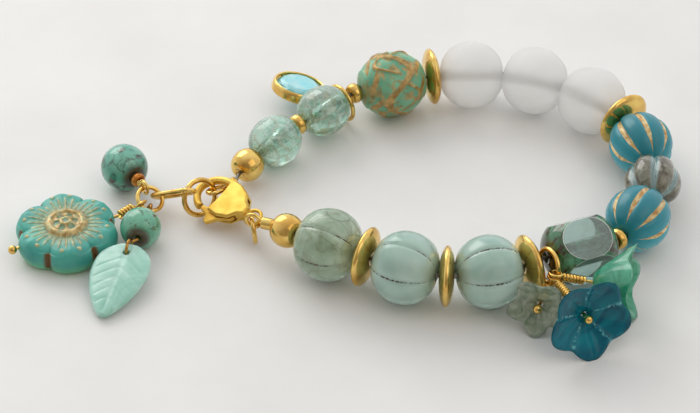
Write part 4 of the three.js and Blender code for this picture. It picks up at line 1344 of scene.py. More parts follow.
    def relief_mesh(self, form: BeadForm, material: bpy.types.Material, place: np.ndarray) -> bpy.types.Mesh:
        """A bead with a raised band that winds round it three times, with smaller scrolls beside it.

        Args:
            form: the bead without its relief.
            material: its finish.
            place: where its hole lies.

        Returns:
            The mesh, with its relief marked.
        """
        turn = np.arange(form.around) / form.around
        swing = np.linspace(-math.pi / 2, math.pi / 2, form.rows)[:, None]
        height = np.sin(swing)
        bulge = (1 - np.abs(height) ** form.power) ** (1 / form.power)
        rim = form.bore + form.lip
        radius = rim + (form.diameter / 2 - rim) * bulge
        along = height * form.length / 2 + 0 * turn
        phase = self.band_waves * TURN * turn
        wave = form.length * 0.21 * np.sin(phase)
        scroll = form.length * 0.3 * np.sin(phase + 0.7 + np.sign(along) * 1.2) * np.sign(along)
        band = np.clip((1 - np.abs(along - wave) / self.band_half) * 1.6, 0, 1)
        curl = np.clip((1 - np.abs(along - scroll) / self.scroll_half) * 1.6, 0, 1)
        curl = curl * (np.abs(along) < form.length * 0.42)
        raised = np.maximum(smooth_step(0, 1, band), smooth_step(0, 1, curl))
        groove = np.exp(-((along - wave) / 0.28) ** 2) * self.band_groove
        keep = smooth_step(0.55, 0.68, radius / (form.diameter / 2))
        reach = radius - keep * self.relief + keep * (raised * self.relief - groove)
        angles = turn * TURN
        outer = np.stack([np.cos(angles) * reach, np.sin(angles) * reach, along], axis=2)
        hole = turned(np.array([[form.bore, form.length / 2], [form.bore, -form.length / 2]]), form.around)
        ripples = smooth_step(-0.1, 0.5, np.cos(TURN * (6 * turn + along / 2.4)))
        ends = ripples * smooth_step(0.2, 0.32, np.abs(along) / form.length) * 0.8
        rough = np.clip(np.maximum(raised, ends) - groove * 1.5, 0, 1) * keep
        marks = {"raised": np.concatenate([rough, np.zeros((2, form.around))])}
        return Skin(np.concatenate([outer, hole]), True, marks).mesh("relief", place, material)

    def build(self) -> None:
        """Makes every bead."""
        makers = {BeadKind.FACETED: self.window_cut_mesh, BeadKind.RELIEF: self.relief_mesh}
        for index, bead in enumerate(self.beads):
            style = bead.kind.value
            angle = math.radians(bead.spin)
            spin = np.eye(4)
            spin[:2, :2] = [[math.cos(angle), -math.sin(angle)], [math.sin(angle), math.cos(angle)]]
            make = makers.get(bead.kind, self.turned_mesh)
            mesh = make(style.form, style.finish.material(), self.place(index) @ spin)
            stand_for(mesh, bead.name, style.slot)


# ------------------------------------------------------------------ end findings and beading wire


@dataclass(frozen=True)
class StrandEnd:
    """One end of the strand: its loop, the way its legs point, and how far its crimp lies from it."""

    end: str
    loop: np.ndarray
    legs: tuple[float, float, float]
    loop_axis: tuple[float, float, float]
    to_crimp: float


@dataclass
class EndFindings:
    """Crimp tubes, wire guards and the beading wire that runs from one crimp to the other."""

    strand: Strand
    wires: ShapeTree
    crimp_length: float = 1.8
    crimp: BeadForm = BeadForm(2.04, 1.8, 7.0, around=32, rows=24, bore=0.7, lip=0.12)
    guard_tube: float = 0.38
    bend: float = 1.17
    leg_spread: float = 0.5
    wire: float = 0.3
    ends: tuple[StrandEnd, ...] = (
        StrandEnd("front", on_table(-16.0, -9.8, 5.2), (0.93, -0.36, 0.03), (0.2, 0.6, 0), 2.55),
        StrandEnd("back", on_table(-22.89, 0.01, 3.4), (0.705, 0.691, -0.161), (-0.138, 0.356, 0.924), 3.75),
    )

    def crimp_centre(self, end: StrandEnd) -> np.ndarray:
        """The middle of an end's crimp tube."""
        return end.loop + unit(end.legs) * end.to_crimp

    def build(self) -> None:
        """Makes the crimps, the guards and the wire."""
        gold = POLISHED.material()
        for end in self.ends:
            out = unit(end.legs)
            mesh = self.strand.turned_mesh(self.crimp, gold, frame_at(self.crimp_centre(end), out))
            stand_for(mesh, f"crimp_tube_{end.end}", Slot.GOLD)
            axis = unit(np.array(end.loop_axis) - out * np.dot(end.loop_axis, out))
            leg = end.to_crimp - self.crimp_length / 2 - 1.4 * GAP
            side = [[leg, self.leg_spread, 0], [leg * 0.45, self.bend * 0.95, 0]]
            other_side = [[x, -y, z] for x, y, z in side[::-1]]
            path = np.array(side + arc(90, 270, 13, self.bend).tolist() + other_side)
            guard = Wires(self.guard_tube)
            guard.run(moved(path, frame_at(end.loop, axis, out)))
            guard.stand(self.wires, f"wire_guard_{end.end}")
        self.beading_wire()

    def beading_wire(self) -> None:
        """The wire through every bead."""
        front, back = self.ends
        to_mouth = self.crimp_length / 2 + GAP / 2
        mouths = [self.crimp_centre(end) + unit(end.legs) * to_mouth for end in (front, back)]
        points = [self.crimp_centre(front), mouths[0]]
        for index in range(len(self.strand.beads)):
            points += self.strand.hole_points(index)
        points += [mouths[1], self.crimp_centre(back)]
        wire = Wires(self.wire, step=0.5, sides=10)
        wire.run(np.array(points))
        wire.stand(self.wires, "beading_wire", STEEL, Slot.STEEL_WIRE)


# ------------------------------------------------------------------ rings and links


@dataclass(frozen=True)
class JumpRing:
    """A round wire ring with a fine split; split_at turns the split round the ring, in degrees."""

    name: str
    axis: tuple[float, float, float]
    radius: float
    wire: float
    split_at: float = 90.0


@dataclass
class RingsAndLinks:
    """The jump rings and the oval link of the extender."""

    wires: ShapeTree
    rings: tuple[JumpRing, ...] = (
        JumpRing("clasp_jump_ring", (-0.985, -0.13, -0.09), 2.2, 0.4, 200),
        JumpRing("hook_ring", (0.567, -0.742, 0.357), 3.0, 0.45, 150),
        JumpRing("charm_ring", (0.405, -0.34, 0.849), 2.2, 0.38, 250),
        JumpRing("flower_ring", (-0.877, -0.435, 0.204), 2.8, 0.43, 55),
    )
    split: float = 2.4
    link_axis: tuple[float, float, float] = (0.045, -0.752, -0.658)
    link_along: tuple[float, float, float] = (0.835, -0.334, 0.438)
    link_straight: float = 5.28
    link_bend: float = 1.38
    link_wire: float = 0.45

    def ring(self, ring: JumpRing) -> None:
        """Makes one ring in the middle of its node's box.

        Args:
            ring: its name, axis and sizes.
        """
        start, end = ring.split_at + self.split / 2, ring.split_at + 360 - self.split / 2
        line = Wires(ring.wire, step=0.2, sides=16)
        line.run(moved(arc(start, end, 64, ring.radius), frame_at(box_middle(ring.name), ring.axis)))
        line.stand(self.wires, ring.name)

    def build(self) -> None:
        """Makes every ring and the oval link."""
        for ring in self.rings:
            self.ring(ring)
        shift = np.array([self.link_straight / 2, 0, 0])
        halves = [arc(-90, 90, 15, self.link_bend) + shift, arc(90, 270, 15, self.link_bend) - shift]
        place = frame_at(box_middle("oval_link"), self.link_axis, self.link_along)
        line = Wires(self.link_wire, step=0.2, sides=16)
        line.run(moved(np.concatenate(halves), place), closed=True)
        line.stand(self.wires, "oval_link")


# ------------------------------------------------------------------ lobster clasp


@dataclass
class LobsterClasp:
    """A cast lobster clasp: its body and the lever that closes its hook."""

    voxel: float = 0.09
    rounds: int = 7

    def cast(self, node: str, body: str) -> None:
        """Makes a cast piece of a CAD node: the same form with its edges tumbled soft.

        Args:
            node: the CAD node.
            body: the body that it moves with.
        """
        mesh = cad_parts[node].data.copy()
        shell = bmesh.new()
        shell.from_mesh(mesh)
        bmesh.ops.remove_doubles(shell, verts=shell.verts, dist=MERGE)
        shell.to_mesh(mesh)
        shell.free()
        carrier = bpy.data.objects.new("casting", mesh)
        bpy.context.scene.collection.objects.link(carrier)
        skin = carrier.modifiers.new("skin", "REMESH")
        skin.mode, skin.voxel_size, skin.use_smooth_shade = "VOXEL", self.voxel * MM, True
        tumble = carrier.modifiers.new("tumble", "SMOOTH")
        tumble.factor, tumble.iterations = 0.5, self.rounds
        graph = bpy.context.evaluated_depsgraph_get()
        cast = bpy.data.meshes.new_from_object(carrier.evaluated_get(graph))
        bpy.data.objects.remove(carrier)
        cast.materials.clear()
        cast.materials.append(SATIN.material())
        stand_for(cast, node, Slot.SATIN_GOLD, body)

    def build(self) -> None:
        """Makes both castings."""
        self.cast("clasp_body", "strand")
        self.cast("clasp_lever", "lever")


# ------------------------------------------------------------------ pins


HEAD_BALL = 0.75
PIN_HOLE = 0.6
COIL_MOST = 3.6
SHORTEST_COIL = 0.3
PIN_LOOP = 1.1
HOLE_SHARE = 0.46


@dataclass(frozen=True)
class Pin:
    """A head pin or eye pin: a wire loop whose tail is wound round its stem, which may end in a ball."""

    reach: float
    loop: float = PIN_LOOP
    wound: float = 0.0
    wire: float = 0.27
    ball: float = 0.0

    def path(self) -> np.ndarray:
        """The wire from the stem's far end round the loop and up the winding.

        Returns:
            The line's points, whose loop lies round the local origin.
        """
        stem = [[0, 0, self.reach], [0, 0, self.reach * 0.6 + self.loop * 0.4], [0, 0, self.loop + 0.2]]
        share = np.linspace(0.02, 0.97, 26)
        loop = np.stack([2.1 * self.wire * share, -np.sin(TURN * share) * self.loop,
                         np.cos(TURN * share) * self.loop], axis=1)
        if self.wound <= SHORTEST_COIL:
            return np.concatenate([stem, loop])
        turns = self.wound / (2.15 * self.wire)
        t = np.linspace(0, turns, max(2, int(turns * 14)))
        reach = 1.95 * self.wire
        coil = np.stack([np.cos(TURN * t) * reach, np.sin(TURN * t) * reach,
                         self.loop + self.wire + t / turns * (self.wound - self.wire)], axis=1)
        return np.concatenate([stem, loop, coil])

    def wires(self, place: np.ndarray) -> Wires:
        """The pin's wire, with the ball on its stem's far end.

        Args:
            place: where the middle of its loop lies; its stem runs along local +Z.

        Returns:
            A set of wires that holds it.
        """
        line = Wires(self.wire)
        line.run(moved(self.path(), place))
        if self.ball:
            line.balls[0] = self.ball
        return line


# ------------------------------------------------------------------ bell flowers


@dataclass(frozen=True)
class BellFlower:
    """A pressed glass bell of five petals on a head pin; depth runs from its hole to its rim."""

    name: str
    finish: Finish
    slot: Slot
    loop: np.ndarray
    hole: np.ndarray
    facing: tuple[float, float, float]
    loop_axis: tuple[float, float, float]
    radius: float
    depth: float
    notch: float
    flare: float
    crease: float
    petals: int = 5
    wall: float = 0.9
    back: float = 1.5

    def outside(self, share: np.ndarray) -> np.ndarray:
        """The outer radius at a share of the depth."""
        return self.back + (self.radius - self.back) * share ** (1 / self.flare)

    def wall_points(self) -> tuple[np.ndarray, np.ndarray]:
        """The bell's wall as one loop of lines, from the hole out over the back, round the rim and in.

        Returns:
            The points, line by line round the bell, and how near each lies to a crease.
        """
        around = self.petals * 32
        turn = np.arange(around) / around
        near = towards_groove(turn, self.petals)
        out = np.linspace(0, 1, 30)
        outer = np.stack([self.outside(out), self.depth * out, out], axis=1)
        back = np.linspace(1, 0.14, 26)
        inner_radius = np.maximum(self.wall, self.outside(back) - self.wall * (1.2 - 0.7 * back))
        inner_height = np.minimum(self.depth * 0.97, self.wall + (self.depth - self.wall) * back)
        inner = np.stack([inner_radius, inner_height, -back], axis=1)
        lines = np.concatenate([[[PIN_HOLE, 0, 0]], outer, inner, [[PIN_HOLE, self.wall, 0]]])
        radius, height, share = lines[:, :1], lines[:, 1:2], lines[:, 2:3]
        rise = np.clip(height / self.depth, 0, 1)
        cut = self.notch * (1 - np.cos(math.pi * near)) / 2 * rise ** 2
        groove = smooth_step(0.6, 1.0, near) * self.crease * rise
        rib = np.exp(-(near / 0.13) ** 2) * self.crease * 0.6 * smooth_step(0.15, 0.5, rise)
        inside = (share < 0) * 1.0
        lobed = radius * (1 - cut) - groove * 0.5 + inside * rib * 0.2
        reach = np.where(radius > self.back / 2, lobed, radius)
        level = height * (1 - cut * 0.8) + inside * (groove * 0.5 - rib * 0.5)
        angles = turn * TURN
        points = np.stack([np.cos(angles) * reach, np.sin(angles) * reach, level + 0 * turn], axis=2)
        return points, np.broadcast_to(near * (radius > 1), radius.shape[:1] + near.shape)

    def build(self, wires: ShapeTree) -> None:
        """Makes the flower and its pin.

        Args:
            wires: the tree that sweeps round wire.
        """
        facing = unit(self.facing)
        points, near = self.wall_points()
        skin = Skin(points, True, {"groove": near})
        mesh = skin.mesh(self.name, frame_at(self.hole, facing), self.finish.material())
        stand_for(mesh, self.name, self.slot)
        stem = self.hole + facing * self.wall / 2 - self.loop
        to_hole = float(np.linalg.norm(stem))
        wound = min(COIL_MOST, to_hole - self.wall / 2 - PIN_LOOP - 2 * GAP)
        pin = Pin(to_hole + self.wall / 2 + 1.3 * GAP + HEAD_BALL, wound=wound, ball=HEAD_BALL)
        pin.wires(frame_at(self.loop, stem, self.loop_axis)).stand(wires, f"{self.name}_pin")


@dataclass
class FlowerCluster:
    """The three flowers that hang on the flower ring."""

    wires: ShapeTree

    def build(self) -> None:
        """Makes the flowers."""
        # The star and blue flowers get a painted highlight along their creases, the green one painted shade.
        star = PressedGlass("smoky_streaked_glass", "#CBD6C2", "#8C9E85", 0.1, clear=0.5, inner_light=0.25,
                            streak=2.6, crease="#C8D6CC", painted_crease_lighting=0.3)
        blue = PressedGlass("deep_blue_glass", "#0A98AA", "#026480", 0.08, clear=0.5, inner_light=0.0,
                            index=1.3, streak=6.0, crease="#8FF0F6", painted_crease_lighting=0.9, crease_from=0.84, coat=0.1)
        green = PressedGlass("opaque_green_pressed_glass", "#4CA886", "#2C8A69", 0.16, inner_light=0.2,
                             streak=3.6, crease="#2C7C60", painted_crease_lighting=0.5)
        flowers = (
            BellFlower("star_flower", star, Slot.SMOKY, on_table(32.12, -23.75, 3.85),
                       on_table(30.36, -28.65, 4.12), (-0.272, -0.915, 0.299), (0.9, -0.29, 0.28),
                       radius=5.05, depth=2.8, notch=0.24, flare=1.3, crease=0.35),
            BellFlower("blue_flower", blue, Slot.BLUE, on_table(32.74, -24.96, 5.71),
                       on_table(36.51, -32.99, 5.94), (0.331, -0.909, 0.255), (0.133, 0.204, 0.97),
                       radius=7.1, depth=3.4, notch=0.16, flare=1.2, crease=0.35),
            BellFlower("bell_flower", green, Slot.OPAQUE_GREEN, on_table(32.92, -24.93, 6.54),
                       on_table(38.87, -26.16, 6.1), (0.976, -0.19, 0.105), (0.093, 0.193, 0.977),
                       radius=6.7, depth=6.8, notch=0.2, flare=1.15, crease=0.4),
        )
        for flower in flowers:
            flower.build(self.wires)


# ------------------------------------------------------------------ charms of the extender


def pin_bead(diameter: float) -> BeadForm:
    """A round bead drilled for a pin."""
    return BeadForm(diameter, 2 * (diameter * HOLE_SHARE), bore=PIN_HOLE, around=80, rows=40)


@dataclass
class CappedCharm:
    """A round bead with a gold cap on a headed pin."""

    strand: Strand
    wires: ShapeTree
    loop: np.ndarray = field(default_factory=lambda: on_table(-34.4, -0.3, 4.47))
    stem: tuple[float, float, float] = (-0.569, 0.82, -0.058)
    loop_axis: tuple[float, float, float] = (-0.809, -0.546, 0.217)
    to_bead: float = 7.19
    bead: float = 8.0
    cap_length: float = 1.2
    loop_radius: float = 1.05

    def at(self, distance: float) -> np.ndarray:
        """The place that far along the pin."""
        return frame_at(self.loop + unit(self.stem) * distance, self.stem, self.loop_axis)

    def build(self) -> None:
        """Makes the bead, its cap and its pin."""
        form = pin_bead(self.bead)
        hole_half = form.length / 2
        glass = PicassoGlass("turquoise_picasso_glass", "#4A9C88", "#7CC0AA", "#3A2A1C", skin_share=0.7)
        stand_for(self.strand.turned_mesh(form, glass.material(), self.at(self.to_bead)), "capped_bead",
                  Slot.TURQUOISE)
        half = self.cap_length / 2
        cap_at = self.to_bead - hole_half - GAP - half
        outline = round_corners([[PIN_HOLE, -half], [0.95, -half], [1.25, -half * 0.4], [1.2, half],
                                 [PIN_HOLE, half]], 0.2)
        skin = Skin(turned(outline, 40), True)
        copper = Gold("copper_toned_gold_plate", "#D8924A", "#A9642C", 0.3)
        stand_for(skin.mesh("cap", self.at(cap_at), copper.material()), "bead_cap", Slot.GOLD)
        pin = Pin(self.to_bead + hole_half + GAP + HEAD_BALL, self.loop_radius,
                  cap_at - half - GAP - self.loop_radius, ball=HEAD_BALL)
        pin.wires(self.at(0)).stand(self.wires, "capped_bead_pin")


@dataclass
class CoinCharm:
    """A flower coin of pressed glass that lies flat, pinned through its width."""

    wires: ShapeTree
    centre: np.ndarray = field(default_factory=lambda: on_table(-47.0, -9.75, 0))
    radius: float = 8.75
    thickness: float = 5.4
    petals: int = 6
    notch: float = 1.2
    dot: float = 0.42
    dot_ring: float = 7.0
    cell_ring: float = 1.55
    hole_height: float = 2.6
    heading: float = 207.5
    spin: float = 12.0
    loop: np.ndarray = field(default_factory=lambda: on_table(-35.35, -3.47, 3.65))
    loop_axis: tuple[float, float, float] = (0.562, -0.659, -0.5)
    loop_radius: float = 1.05
    drill_half: float = 12.0
    pin_clear: float = 0.4
    turns_end: float = 0.2

    def outline(self) -> np.ndarray:
        """Radius and height from the middle of the base round the edge to the middle of the top.

        Returns:
            [radius, height] rows, evenly spaced.
        """
        r, t = self.radius, self.thickness
        corners = [[0, 0], [r - 1.2, 0], [r - 0.3, 1.0], [r, 2.4], [r - 0.4, 3.9], [r - 1.4, 4.7],
                   [r - 3.4, 4.75], [3.7, 4.55], [3.3, t - 0.35], [2.6, t - 0.1], [2.2, 4.9], [1.5, 5.0],
                   [0.8, t], [0, t]]
        rounded = round_corners(corners, 0.7, 5)
        lengths = np.concatenate([[0], np.cumsum(np.linalg.norm(np.diff(rounded, axis=0), axis=1))])
        wanted = np.linspace(0, lengths[-1], 150)
        return np.stack([np.interp(wanted, lengths, rounded[:, i]) for i in (0, 1)], axis=1)

    def coin_skin(self) -> Skin:
        """The coin with its petals, rays, boss and dots as relief.

        Returns:
            The skin, with its gilding and notches marked.
        """
        around = self.petals * 60
        turn = np.arange(around) / around
        near = towards_groove(turn, self.petals)
        outline = self.outline()
        r, z = outline[:, :1], outline[:, 1:2]
        share = np.clip((r - 3.6) / (self.radius - 3.6), 0, 1)
        top = smooth_step(3.9, 4.3, z)
        dip = (0.55 * near ** 2 - 0.35 * np.clip(1 - near * 3, 0, 1)) * share * top
        reach = r - self.notch * near ** 3 * share
        level = z - dip
        ray_reach = smooth_step(3.4, 3.9, r) * (1 - smooth_step(5.8, 7.0, r))
        rays = np.cos(TURN * turn * self.petals * 2.5) ** 10 * ray_reach
        edge_line = smooth_step(0.93, 1.0, near) * share
        angle = turn * TURN
        x, y = np.cos(angle) * reach, np.sin(angle) * reach
        dots, wells = np.zeros_like(level), np.zeros_like(level)
        for petal, side in product(range(self.petals), (-1, 1)):
            away = away_from(x, y, self.dot_ring, (petal + 0.5 + side * 0.2) / self.petals)
            dots = np.maximum(dots, np.sqrt(np.clip(1 - (away / self.dot) ** 2, 0, 1)))
        for cell_radius, cell_turn in [(0.0, 0.0)] + [(self.cell_ring, k / 6) for k in range(6)]:
            wells = np.maximum(wells, smooth_step(0.62, 0.42, away_from(x, y, cell_radius, cell_turn)))
        inner = 1 - smooth_step(3.0, 3.4, r)
        level = level + top * (0.22 * dots + 0.16 * rays - 0.25 * wells * inner - 0.1 * edge_line)
        ring = smooth_step(2.2, 2.6, r) * (1 - smooth_step(3.5, 4.0, r))
        lattice = inner * (1 - wells)
        fade = smooth_step(6.8, 3.6, r) * 0.55
        marks = np.broadcast_arrays(dots, rays * 0.95, ring, lattice, fade)
        gilt = top * np.clip(np.maximum.reduce(marks), 0, 1)
        side = (1 - top) * smooth_step(0.78, 0.92, near) * smooth_step(0.5, 1.0, z)
        return Skin(np.stack([x, y, level], axis=2), marks={"gilt": gilt, "notch": side})

    def build(self) -> None:
        """Makes the coin, drilled across, and its pin."""
        heading = math.radians(self.heading)
        across = np.array([math.cos(heading), math.sin(heading), 0])
        middle = self.centre + UP * self.hole_height - UP * TABLE_SHIFT[2]
        edge = self.radius + self.pin_clear
        inside = middle - across * edge
        outside = middle + across * (edge + HEAD_BALL * 0.6)
        spin = math.radians(self.spin)
        place = frame_at(self.centre, UP, [math.cos(spin), math.sin(spin), 0])
        finish = CoinGlass("etched_teal_glass_gilt_relief").material()
        coin = self.coin_skin().mesh("coin", place, finish)
        coin = drilled(coin, PIN_HOLE, self.drill_half, frame_at(middle, across))
        stand_for(coin, "flower_coin", Slot.COIN)
        stem = inside - self.loop
        reach = np.linalg.norm(stem)
        pin = Pin(reach, self.loop_radius, reach - self.loop_radius - self.turns_end)
        line = pin.wires(frame_at(self.loop, stem, self.loop_axis))
        line.run([inside, middle, outside], ball=HEAD_BALL)
        line.stand(self.wires, "flower_coin_pin")


@dataclass
class LeafCharm:
    """A round bead on an eye pin whose far eye holds a pressed glass leaf."""

    strand: Strand
    wires: ShapeTree
    loop: np.ndarray = field(default_factory=lambda: on_table(-34.19, -4.13, 2.83))
    stem: tuple[float, float, float] = (-0.094, -0.99, 0.105)
    loop_axis: tuple[float, float, float] = (0.88, -0.133, -0.456)
    loop_radius: float = 1.05
    to_bead: float = 5.45
    bead: float = 6.85
    beyond_bead: float = 0.25
    eye: np.ndarray = field(default_factory=lambda: on_table(-36.25, -14.75, 3.55))
    eye_radius: float = 1.32
    stem_end: np.ndarray = field(default_factory=lambda: on_table(-36.1, -14.15, 3.5))
    tip: np.ndarray = field(default_factory=lambda: on_table(-39.8, -28.3, 0.95))
    half_width: float = 4.8
    hole_in: float = 1.85
    hole_radius: float = 0.62
    drill_half: float = 3.0
    veins: int = 5

    def leaf_skin(self, length: float) -> Skin:
        """The leaf along local +Z, its upper face towards +Y: midrib and veins pressed in, edge rounded.

        Args:
            length: from its stem end to its tip, in millimetres.

        Returns:
            The skin.
        """
        along = np.linspace(0, 1, 110)[:, None]
        stations = [0.0, 0.05, 0.16, 0.3, 0.46, 0.62, 0.78, 0.91, 1.0]
        wide = smooth_line(along, stations, [0.34, 0.64, 0.91, 1.0, 0.98, 0.85, 0.64, 0.4, 0.16])
        wide = wide * self.half_width
        half = smooth_line(along, stations, [0.38, 0.45, 0.62, 0.85, 0.95, 0.95, 0.9, 0.8, 0.6])
        angle = np.linspace(0, TURN, 96, endpoint=False)
        side = np.cos(angle)
        x = np.sign(side) * np.abs(side) ** 0.9 * wide
        y = np.sign(np.sin(angle)) * np.abs(np.sin(angle)) ** 0.75 * half
        face = smooth_step(0.25, 0.7, np.sin(angle)) + 0 * along
        midrib = np.exp(-(x / 0.3) ** 2) * 0.12
        veins = np.zeros_like(x)
        for k in range(self.veins):
            start = 0.2 + 0.14 * k
            away = (along - start) * length - np.abs(x) * (0.75 + 0.04 * k)
            veins = np.maximum(veins, np.exp(-(away / 0.24) ** 2) * smooth_step(1.0, 0.72, np.abs(x) / wide))
        kept = smooth_step(0.02, 0.12, along) * smooth_step(1.0, 0.93, along)
        press = face * np.maximum(midrib, veins * 0.08) * kept
        points = np.stack([x, y - press, along * length + 0 * x], axis=2)
        ends = [np.repeat(points[i].mean(axis=0)[None, None], len(angle), axis=1) for i in (0, -1)]
        return Skin(np.concatenate([ends[0], points, ends[1]]))

    def build(self) -> None:
        """Makes the bead, the eye pin and the leaf."""
        form = pin_bead(self.bead)
        hole_half = form.length / 2
        stem = np.array(self.stem)
        glass = PicassoGlass("green_turquoise_glass", "#58A487", "#7DBFA2", "#4E3320", skin_share=0.45)
        place = frame_at(self.loop + stem * self.to_bead, stem, self.loop_axis)
        stand_for(self.strand.turned_mesh(form, glass.material(), place), "eye_pin_bead", Slot.TURQUOISE)

        reach = self.to_bead + hole_half + self.beyond_bead
        pin = Pin(reach, self.loop_radius, self.to_bead - hole_half - GAP - self.loop_radius)
        line = pin.wires(frame_at(self.loop, stem, self.loop_axis))
        run = unit(self.tip - self.stem_end)
        eye_axis = unit(np.cross(run, UP))
        back = self.eye - run * self.eye_radius
        line.run([self.loop + stem * (reach - 0.5), self.loop + stem * reach, back])
        eye = moved(arc(0, 350, 40, self.eye_radius), frame_at(self.eye, eye_axis, -run))
        line.run(eye)
        line.stand(self.wires, "leaf_eye_pin", DARK_GOLD)

        length = float(np.linalg.norm(self.tip - self.stem_end))
        side = unit(np.cross(run, UP))
        place = frame_at(self.stem_end, run, -side)
        finish = PressedGlass("pale_mint_leaf_glass", "#B6E0D3", "#96CCBC", 0.3, inner_light=0.4, streak=7.0)
        leaf = self.leaf_skin(length).mesh("leaf", place, finish.material())
        at = self.stem_end + run * self.hole_in
        leaf = drilled(leaf, self.hole_radius, self.drill_half, frame_at(at, place[:3, 1], run))
        stand_for(leaf, "leaf", Slot.LEAF)


# ------------------------------------------------------------------ the channel-set stone


@dataclass
class ChannelStone:
    """An aqua crystal in a gold channel, hung from a ring on the beading wire."""

    strand: Strand
    rings: RingsAndLinks
    wires: ShapeTree
    up: tuple[float, float, float] = (0.25, 0.2, 0.95)
    to_ring: tuple[float, float, float] = (0.93, -0.37, -0.17)
    inner: float = 4.5
    outer: float = 5.0
    half: float = 0.95
    lip: float = 4.1
    loop_radius: float = 1.3
    loop_wire: float = 0.35
    loop_at: float = 6.4
    girdle: float = 4.2
    table: float = 2.5
    crown: float = 1.2
    pavilion: float = 1.3
    cut_girdle: float = 4.3
    cut_table: float = 3.0
    girdle_edge: float = 0.15
    culet: float = 1.2
    sides: int = 12

    def place(self) -> np.ndarray:
        """The shared place of the setting and the stone, from the stone's own box.

        Returns:
            The place, in millimetres.
        """
        place = frame_at([0, 0, 0], self.up, self.to_ring)
        edge = self.girdle_edge
        levels = ((self.girdle, -edge), (self.girdle, edge), (self.table, self.crown),
                  (self.culet, -self.pavilion))
        cloud = moved(turned(np.array(levels), self.sides).reshape(-1, 3), place)
        place[:3, 3] = box_middle("aqua_stone") - (cloud.min(axis=0) + cloud.max(axis=0)) / 2
        return place

    def stone_skin(self) -> Skin:
        """A round stone cut with a table, crown and pavilion facets.

        Returns:
            The stone's skin.
        """
        middle = (self.cut_girdle + self.cut_table) / 2
        edge = self.girdle_edge
        # Each row is a ring of corners: its radius, its height and its turn in facets.
        rings = ((0, -self.pavilion, 0), (self.culet, -self.pavilion, 0), (self.cut_girdle, -edge, 0),
                 (self.cut_girdle, edge, 0), (middle * 1.02, edge + (self.crown - edge) * 0.55, 0.5),
                 (self.cut_table, self.crown, 0), (0, self.crown, 0))
        rows = []
        for radius, height, turn in rings:
            angles = (np.arange(self.sides) + turn) / self.sides * TURN
            rows.append(np.stack([radius * np.cos(angles), radius * np.sin(angles),
                                  np.full(self.sides, height)], axis=1))
        return Skin(np.array(rows))

    def build(self) -> None:
        """Makes the ring, the setting and the stone."""
        names = [bead.name for bead in self.strand.beads]
        axes = [self.strand.place(names.index(name))[:3, 2] for name in ("gold_spacer_2", "crackle_bead_1")]
        self.rings.ring(JumpRing("stone_ring", tuple(axes[0] + axes[1]), 3.2, 0.38, 140))
        place = self.place()
        h = self.half
        outline = round_corners([[self.inner, -0.35], [4.15, -h], [self.outer - 0.2, -h],
                                 [self.outer, -h + 0.2], [self.outer - 0.1, h * 0.5], [self.lip + 0.5, h],
                                 [self.lip + 0.2, h * 0.85], [self.inner, 0.35]], 0.14)
        band = Skin(turned(outline, 80), True).mesh("band", place, POLISHED.material())
        loop = Wires(self.loop_wire, sides=16)
        round_loop = arc(0, 360 - 9, 40, self.loop_radius) + np.array([self.loop_at, 0, 0])
        loop.run(moved(round_loop, place), closed=True)
        stand_for(joined(band, loop.mesh(self.wires, POLISHED.material())), "stone_setting", Slot.GOLD)
        crystal = CutCrystal("cut_aqua_crystal").material()
        stand_for(self.stone_skin().mesh("stone", place, crystal, smooth=False), "aqua_stone", Slot.AQUA)


# ------------------------------------------------------------------ floor, light and camera


@dataclass(frozen=True)
class PaintedWood(Finish):
    """Wood under matte off-white paint, brushed so thick that it lies a little uneven."""

    def dress(self, add: Adder, here: bpy.types.NodeSocket) -> dict[str, Any]:
        """Two near whites over a slow swell of the paint.

        Args:
            add: adds a node to the material's tree.
            here: the place on the piece, in object coordinates.

        Returns:
            The shader's inputs by name.
        """
        cloud = add(NOISE, {"Scale": per_size(22.0), "Detail": 3.0})
        tone = add(RAMP, [cloud], ((0.3, "#E6E5E3"), (0.7, "#ECECEB")))
        swell = add(NOISE, {"Scale": per_size(5.0), "Detail": 3.0})
        relief = add(BUMP, {"Height": swell, "Distance": 0.25 * MM, "Strength": 0.3})
        return {"Base Color": tone, "Roughness": 0.55, "Normal": relief}


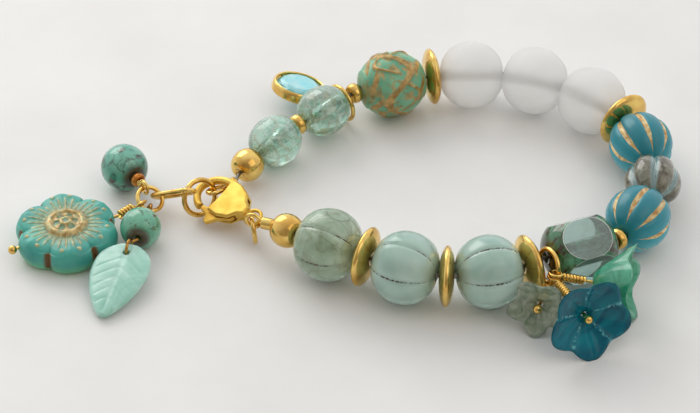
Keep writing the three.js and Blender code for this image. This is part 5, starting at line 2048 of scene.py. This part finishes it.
@dataclass
class Studio:
    """A pale table, soft light from a window behind on the left, and the camera."""

    distance: float = 391.0
    elevation: float = 40.0
    lens: float = 118.34
    table_half: float = 1500.0

    def camera(self) -> None:
        """Looks down on the bracelet's table origin with a long lens."""
        tilt = math.radians(self.elevation)
        aim = np.array([TABLE_SHIFT[0], TABLE_SHIFT[1], 0])
        back = np.array([0, -math.cos(tilt), math.sin(tilt)])
        data = bpy.data.cameras.new("camera")
        data.lens, data.sensor_width = self.lens, 36.0
        data.clip_start, data.clip_end = 0.02, 10.0
        holder = bpy.data.objects.new("camera", data)
        holder.location = Vector((aim + back * self.distance) * MM)
        holder.rotation_euler = Vector(-back).to_track_quat("-Z", "Y").to_euler()
        bpy.context.scene.collection.objects.link(holder)
        bpy.context.scene.camera = holder

    def floor(self) -> None:
        """A painted tabletop, very slightly uneven."""
        mesh = bpy.data.meshes.new("tabletop")
        h = self.table_half * MM
        mesh.from_pydata([(-h, -h, 0), (h, -h, 0), (h, h, 0), (-h, h, 0)], [], [(0, 1, 2, 3)])
        mesh.materials.append(PaintedWood("painted_tabletop").material())
        table = bpy.data.objects.new("tabletop", mesh)
        bpy.context.scene.collection.objects.link(table)

    def lamp(self, name: str, place: Point, size: float, power: float, colour: str) -> None:
        """A soft square lamp that faces the bracelet.

        Args:
            name: its name.
            place: where it stands, in millimetres.
            size: the length of its side, in millimetres.
            power: its power, in watts.
            colour: the sRGB value of its light.
        """
        data = bpy.data.lights.new(name, "AREA")
        data.size, data.energy = size * MM, power
        data.color = linear(colour)[:3]
        holder = bpy.data.objects.new(name, data)
        holder.location = Vector(np.array(place) * MM)
        holder.rotation_euler = (-holder.location).to_track_quat("-Z", "Y").to_euler()
        bpy.context.scene.collection.objects.link(holder)

    def light(self) -> None:
        """A pale room and two soft lamps."""
        world = bpy.data.worlds.new("room")
        bpy.context.scene.world = world
        world.use_nodes = True
        tree = world.node_tree
        tree.nodes.clear()
        way = add_node(tree, "ShaderNodeTexCoord").node.outputs["Generated"]
        part = add_node(tree, "ShaderNodeSeparateXYZ", [way]).node
        back = add_node(tree, RANGE, {"Value": part.outputs["Y"], "From Min": -0.7, "From Max": 0.7})
        tone = add_node(tree, RAMP, [back], ((0.0, "#978D82"), (0.45, "#DADADC"), (1.0, "#FAFCFF")))
        room = add_node(tree, "ShaderNodeBackground", [tone, 1.1])
        add_node(tree, "ShaderNodeOutputWorld", [room])
        self.lamp("window", (-260, 420, 330), 380, 1.1, "#FFFDF6")
        self.lamp("fill", (320, -260, 420), 420, 0.4, "#FFF3E2")

    def build(self) -> None:
        """Sets the stage."""
        self.camera()
        self.floor()
        self.light()
        bpy.context.scene.view_settings.view_transform = "Standard"


def main() -> None:
    """Builds the studio and then every sub-assembly in order."""
    logging.basicConfig(level=logging.INFO, format="%(message)s")
    Studio().build()
    beads, wires = bead_tree(), wire_tree()
    strand = Strand(beads)
    rings = RingsAndLinks(wires)
    for part in (strand, EndFindings(strand, wires), rings, LobsterClasp(), FlowerCluster(wires),
                 CappedCharm(strand, wires), CoinCharm(wires), LeafCharm(strand, wires),
                 ChannelStone(strand, rings, wires)):
        part.build()
        log.info("built %s", type(part).__name__)


if __name__ == "__main__":
    main()
